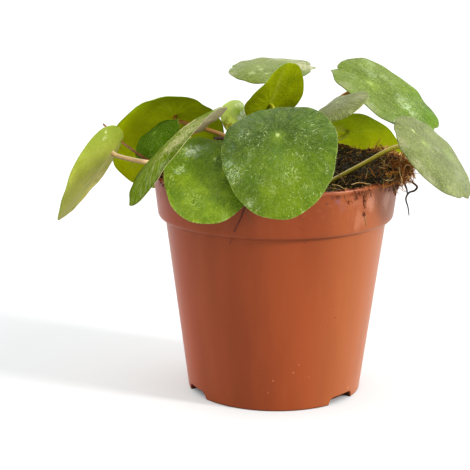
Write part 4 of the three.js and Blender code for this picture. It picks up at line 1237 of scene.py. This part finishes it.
MIX_SKIN = earth_finish("potting_mix_skin", "160f01", "503a04", "8c7018", toned=False)
BIT_SKIN = earth_finish("mix_bits_skin", "110c01", "4e3c06", "98801e")
CLUMP_SKIN = earth_finish("clump_crumbs_skin", "2a1406", "8a4c14", "d88c3c")
COIR_SKIN = earth_finish("coir_skin", "70380a", "cc822e", "fadaa0")
SPILL_SKIN = earth_finish("spilled_mix_skin", "38140a", "84401e", "b47844")
HAIR_SKIN = earth_finish("root_hair_skin", "7a5f38", "b39460", "ded0a4")
WALL_HAIR_SKIN = bark_finish("wall_hair_skin", "32160c", "4f2414", "6b3822")
ROOT_SKIN = bark_finish("dark_root_skin", "1d130c", "3a281b", "5a432f")
STEM_SKIN = bark_finish("stem_skin", "4a3a1e", "77663a", "93874c")
STUB_SKIN = bark_finish("withered_stub_skin", "1f1208", "3f2812", "7a5428")
DRY_SKIN = bark_finish("dry_stalk_skin", "5a2f16", "94592c", "c08a4e")

mix = build_mix(MIX_SKIN)
# What is strewn: name, shapes, then how many on a square metre, 1 for the clump alone, seed, smallest and
# largest size, lean, finish.
STREWN = [
    ("mix_crumbs", crumbs("crumb", 6, 0, (1.0, 0.8, 0.7)), 330000, 0.0, 3, 0.5, 1.9, 3.0, BIT_SKIN),
    ("bark_flakes", crumbs("flake", 5, 20, (1.8, 0.9, 0.3)), 30000, 0.0, 5, 0.8, 2.2, 0.6, BIT_SKIN),
    ("fine_fibres", fibres("fibre", 12, 40, 5.5, 0.09, 0.45, 0.25), 70000, 0.0, 8, 0.5, 1.4, 0.4, COIR_SKIN),
    ("root_hairs", fibres("hair", 8, 60, 9, 0.09, 0.3, 0.2), 16000, 0.0, 12, 0.35, 1.1, 0.35, HAIR_SKIN),
    ("coir_tangle", fibres("coir", 14, 80, 5.5, 0.13, 0.5, 0.6), 220000, 1.0, 15, 0.5, 1.8, 1.1, COIR_SKIN),
    ("coir_crumbs", crumbs("coir_crumb", 6, 100, (1.3, 0.7, 0.6)), 130000, 1.0, 18, 0.5, 2.2, 3.0,
     CLUMP_SKIN),
]
for name, *settings in STREWN:
    scatter(name, mix, *settings)
settle(mix, "mix", "potting_mix")

build_strands("hanging_roots", [(way, HANGING_ROOT_RADIUS) for way in HANGING_ROOTS], ROOT_SKIN)
# Bits of mix stuck to the wall and rim: from and to (direction, height), how many, largest size.
WALL_BITS = [
    ((-55.6, 108.4), (-53.0, 103.6), 18, 1.1), ((-57.5, 104), (-56.5, 102.4), 4, 0.6),
    ((-49.2, 107.6), (-47.4, 98.5), 16, 0.75), ((-47.6, 97.4), (-47.1, 95.2), 11, 1.0),
    ((-48.2, 103.0), (-47.8, 101.8), 5, 0.7), ((-64, 107), (-63.4, 105.4), 5, 0.6),
    ((-18.5, 104), (-16.5, 99.6), 20, 1.4),
    ((-52, 108), (-50, 105.5), 6, 0.7), ((-40, 108), (-33, 105), 8, 0.6),
    ((-157.4, 109), (-154.5, 105.4), 14, 1.2), ((-152, 108), (-149, 106), 5, 0.8),
    ((-75, 107), (-70, 104), 4, 0.45),
    ((-80.2, 98.5), (-78.8, 89.8), 9, 0.55), ((-67.8, 90), (-67.2, 89), 2, 0.6),
]
# Bits that lie on the rim: how many, first direction, how far round, how they thin out, how far they stand
# out, smallest and largest size.
RIM_BITS = [(110, -12, -52, 0.8, 0.1, 0.3, 1.2), (16, -160, 12, 1.0, 0.0, 0.5, 1.5)]
rng = random.Random(4)
bits = []
for (a0, z0), (a1, z1), count, largest in WALL_BITS:
    for _ in range(count):
        t = rng.random()
        azimuth = a0 + (a1 - a0) * t + rng.uniform(-1.0, 1.0)
        height = z0 + (z1 - z0) * t + rng.uniform(-0.6, 0.6)
        off = 0.5 if height > POT_HEIGHT - 2.4 else 0.15
        bits.append((on_wall(azimuth, min(height, POT_HEIGHT - 0.6), off), rng.uniform(0.3, 0.75) * largest))
for count, first, round_by, crowding, out, smallest, largest in RIM_BITS:
    for _ in range(count):
        azimuth = math.radians(first + round_by * rng.random() ** crowding)
        r = rng.uniform(RIM_RADIUS - 1.4, RIM_RADIUS + out)
        spot = (r * math.cos(azimuth), r * math.sin(azimuth), POT_HEIGHT + 0.1)
        bits.append((spot, rng.uniform(smallest, largest)))
build_bits("wall_bits", bits, SPILL_SKIN)

spilled = []
for _ in range(110):
    a = 14 - 70 * rng.random() ** 0.8
    drift, reach = rng.uniform(-5, 5), rng.uniform(0.3, 4.5) * (1.7 if a > -24 else 1.0)
    way = [on_wall(a - drift * 0.4, POT_HEIGHT - rng.uniform(0.5, 1.8), -4.5),
           on_wall(a, POT_HEIGHT + 0.25, -0.9), on_wall(a + drift * 0.3, POT_HEIGHT - 0.9, 0.55),
           on_wall(a + drift * 0.6, POT_HEIGHT - 1.2 - reach * 0.6, 0.5 + rng.uniform(0, 0.6)),
           on_wall(a + drift, POT_HEIGHT - 1.4 - reach, 0.3 + rng.uniform(0, 0.8))]
    spilled.append((way, rng.uniform(0.07, 0.15)))
for (a0, z0), (a1, z1), _, _ in WALL_BITS[:6]:
    for _ in range(3):
        a, b = a0 + rng.uniform(-0.8, 0.8), a1 + rng.uniform(-1.2, 1.2)
        spilled.append(([on_wall(a, z0, 0.5), on_wall((a + b) / 2 + rng.uniform(-1, 1), (z0 + z1) / 2, 0.3),
                         on_wall(b, z1, 0.25)], rng.uniform(0.08, 0.16)))
build_strands("spilled_fibres", spilled, SPILL_SKIN, 5)

build_strands("wall_hairs", [
    ([on_wall(-103, 104), on_wall(-105, 102.1), on_wall(-107.5, 96), on_wall(-110.2, 90.8),
      on_wall(-112.6, 86.4, 0.8), on_wall(-113.9, 83.0, 1.8)], 0.21),
], WALL_HAIR_SKIN)
build_strands("pale_roots", [
    ([on_wall(-103.6, 103.5), on_wall(-104.5, 101.1), on_wall(-103.2, 97.3), on_wall(-101.8, 94.3)], 0.13),
    ([(24, -50, 111.4), (27, -50.5, 111), (29.4, -50, 109.6), (31, -50, 109.8)], 0.22),
    ([(27.3, -20, 112), (29, -28, 111.6), (30.6, -40, 110)], 0.22),
    ([(48, -13, 109.6), (50.3, -12, 110.6), (53, -8, 111.6), (55.9, -4, 111.8)], 0.3),
    ([on_wall(-46.9, 95.2), on_wall(-46.0, 92.6), on_wall(-44.6, 89.6)], 0.15),
    ([on_wall(-60.4, 107.4, 0.4), on_wall(-60.2, 106), on_wall(-58.7, 103.6)], 0.14),
    ([(33, -46, 110.6), (37, -44, 111.3), (41, -43, 110.4), (43, -41, 109.9)], 0.16),
    ([(20, -52, 110.2), (24, -53.5, 110.4), (28, -52.8, 109.6)], 0.14),
], HAIR_SKIN)

stem_step = (STEM["top"] - STEM["bottom"]) / 40
stem_way = [Vector((STEM["x"], STEM["y"], STEM["bottom"] + k * stem_step)) for k in range(41)]
stem_shares = [0.93 + 0.07 * math.cos(2 * math.pi * k / 5.7) for k in range(39)]
stem_radii = [STEM["radius"] * s for s in stem_shares] + [3.2, 1.2]
build_rod("stem_bark", stem_way, stem_radii, 28, STEM_SKIN, "stem")

stub_way = smooth_way([(-2, -6, 118), (-10, -8, 120.5), (-19, -11, 123.6), (-26.7, -14, 126.6),
                       (-30, -15, 126.4)], 40)
stub_radii = [0.6 + 0.35 * (k / 40) + 0.2 * noise.noise(Vector((k * 0.4, 5, 0))) for k in range(41)]
build_rod("withered_stub", stub_way, stub_radii, 9, STUB_SKIN)

dry_shares = [1 - 0.25 * (k / 90) ** 3 + 0.16 * noise.noise(Vector((k * 0.5, 0, 0))) for k in range(91)]
dry_radii = [0.6 * s for s in dry_shares]
build_rod("dried_stalk", smooth_way(DRY_STALK_WAY, 90), dry_radii, 10, DRY_SKIN, "dry_stalk")

# Studio: camera, floor and light. The camera looks from where the photo was taken.

FOCAL_PIXELS = 1421.0
FRAME_PIXELS = 470.0
CAMERA_DISTANCE = 700.0
CAMERA_ELEVATION = math.radians(13.0)
CAMERA_ROLL = math.radians(0.25)
CAMERA_TARGET = Vector((-19.85, 0.0, 76.2))
SUN_STRENGTH = 2.8
SUN_ANGLE = math.radians(11)
SUN_WAY = Vector((-0.90, 0.40, -0.43))
FLOOR_SIZE = 8.0
FLOOR_GLOW = 0.235

ahead = Vector((0, math.cos(CAMERA_ELEVATION), -math.sin(CAMERA_ELEVATION)))
upward = Vector((0, math.sin(CAMERA_ELEVATION), math.cos(CAMERA_ELEVATION)))
right = Vector((1, 0, 0)) * math.cos(CAMERA_ROLL) + upward * math.sin(CAMERA_ROLL)
upward = right.cross(ahead)
camera_data = bpy.data.cameras.new("camera")
camera_data.sensor_width = 36.0
camera_data.lens = FOCAL_PIXELS * camera_data.sensor_width / FRAME_PIXELS
camera_data.clip_end = 20.0
camera = shown("camera", camera_data)
spot = (CAMERA_TARGET - ahead * CAMERA_DISTANCE) * MM + Vector(POT_AXIS)
camera.matrix_world = Matrix.Translation(spot) @ Matrix((right, upward, -ahead)).transposed().to_4x4()
bpy.context.scene.camera = camera

# The floor is white paper with a faint glow of its own that keeps it pale.
floor_mesh = bpy.data.meshes.new("floor")
corners = [(x * FLOOR_SIZE, y * FLOOR_SIZE, 0) for x, y in ((-1, -1), (1, -1), (1, 1), (-1, 1))]
floor_mesh.from_pydata(corners, [], [(0, 1, 2, 3)])
paper = Finish("floor_paper")
from_pot = paper.distance(paper.object_place(), tuple(POT_AXIS / MM))
# Painted shade: no glow under the pot, and weaker glow far from it, deepening the shadow there.
glow = paper.step(from_pot, FOOT_RADIUS - 6.0, FOOT_RADIUS + 2.0, 0.0, FLOOR_GLOW)
glow = glow * paper.step(from_pot, 55.0, 160.0, 1.0, 0.62)
paper.surface((0.50, 0.51, 0.515, 1.0), 0.9, Specular_IOR_Level=0.1,
              Emission_Color=(0.97, 0.985, 0.985, 1.0), Emission_Strength=glow)
floor_mesh.materials.append(paper.material)
floor = shown("floor", floor_mesh)

sun = bpy.data.lights.new("sun", "SUN")
sun.energy = SUN_STRENGTH
sun.angle = SUN_ANGLE
sun.color = (1.0, 0.985, 0.96)
sun_light = shown("sun", sun)
sun_light.rotation_euler = SUN_WAY.to_track_quat("-Z", "Y").to_euler()

# A bright room: dimmer behind the camera, with a softbox high on the right and a white card on the left.
world = bpy.data.worlds.new("studio")
world.use_nodes = True
room = Finish("studio", world.node_tree)
east, north, up = room.split(room.node("ShaderNodeTexCoord").outputs["Generated"])
front = room.step(north, 0.1, -0.75) * room.step(up, 0.95, 0.45)
softbox = room.step(east, 0.35, 0.75) * room.step(up, 0.8, 0.5)
card = room.step(east, 0.25, -0.5) * room.step(up, 0.9, 0.5)
strength = 1.03 - front * 0.6 + softbox * 1.3 + card * 0.95
background = world.node_tree.nodes["Background"]
background.inputs[0].default_value = (1.0, 1.0, 1.0, 1.0)
world.node_tree.links.new(strength.socket, background.inputs[1])
bpy.context.scene.world = world
bpy.context.scene.view_settings.view_transform = "Standard"
bpy.context.scene.view_settings.look = "Medium High Contrast"
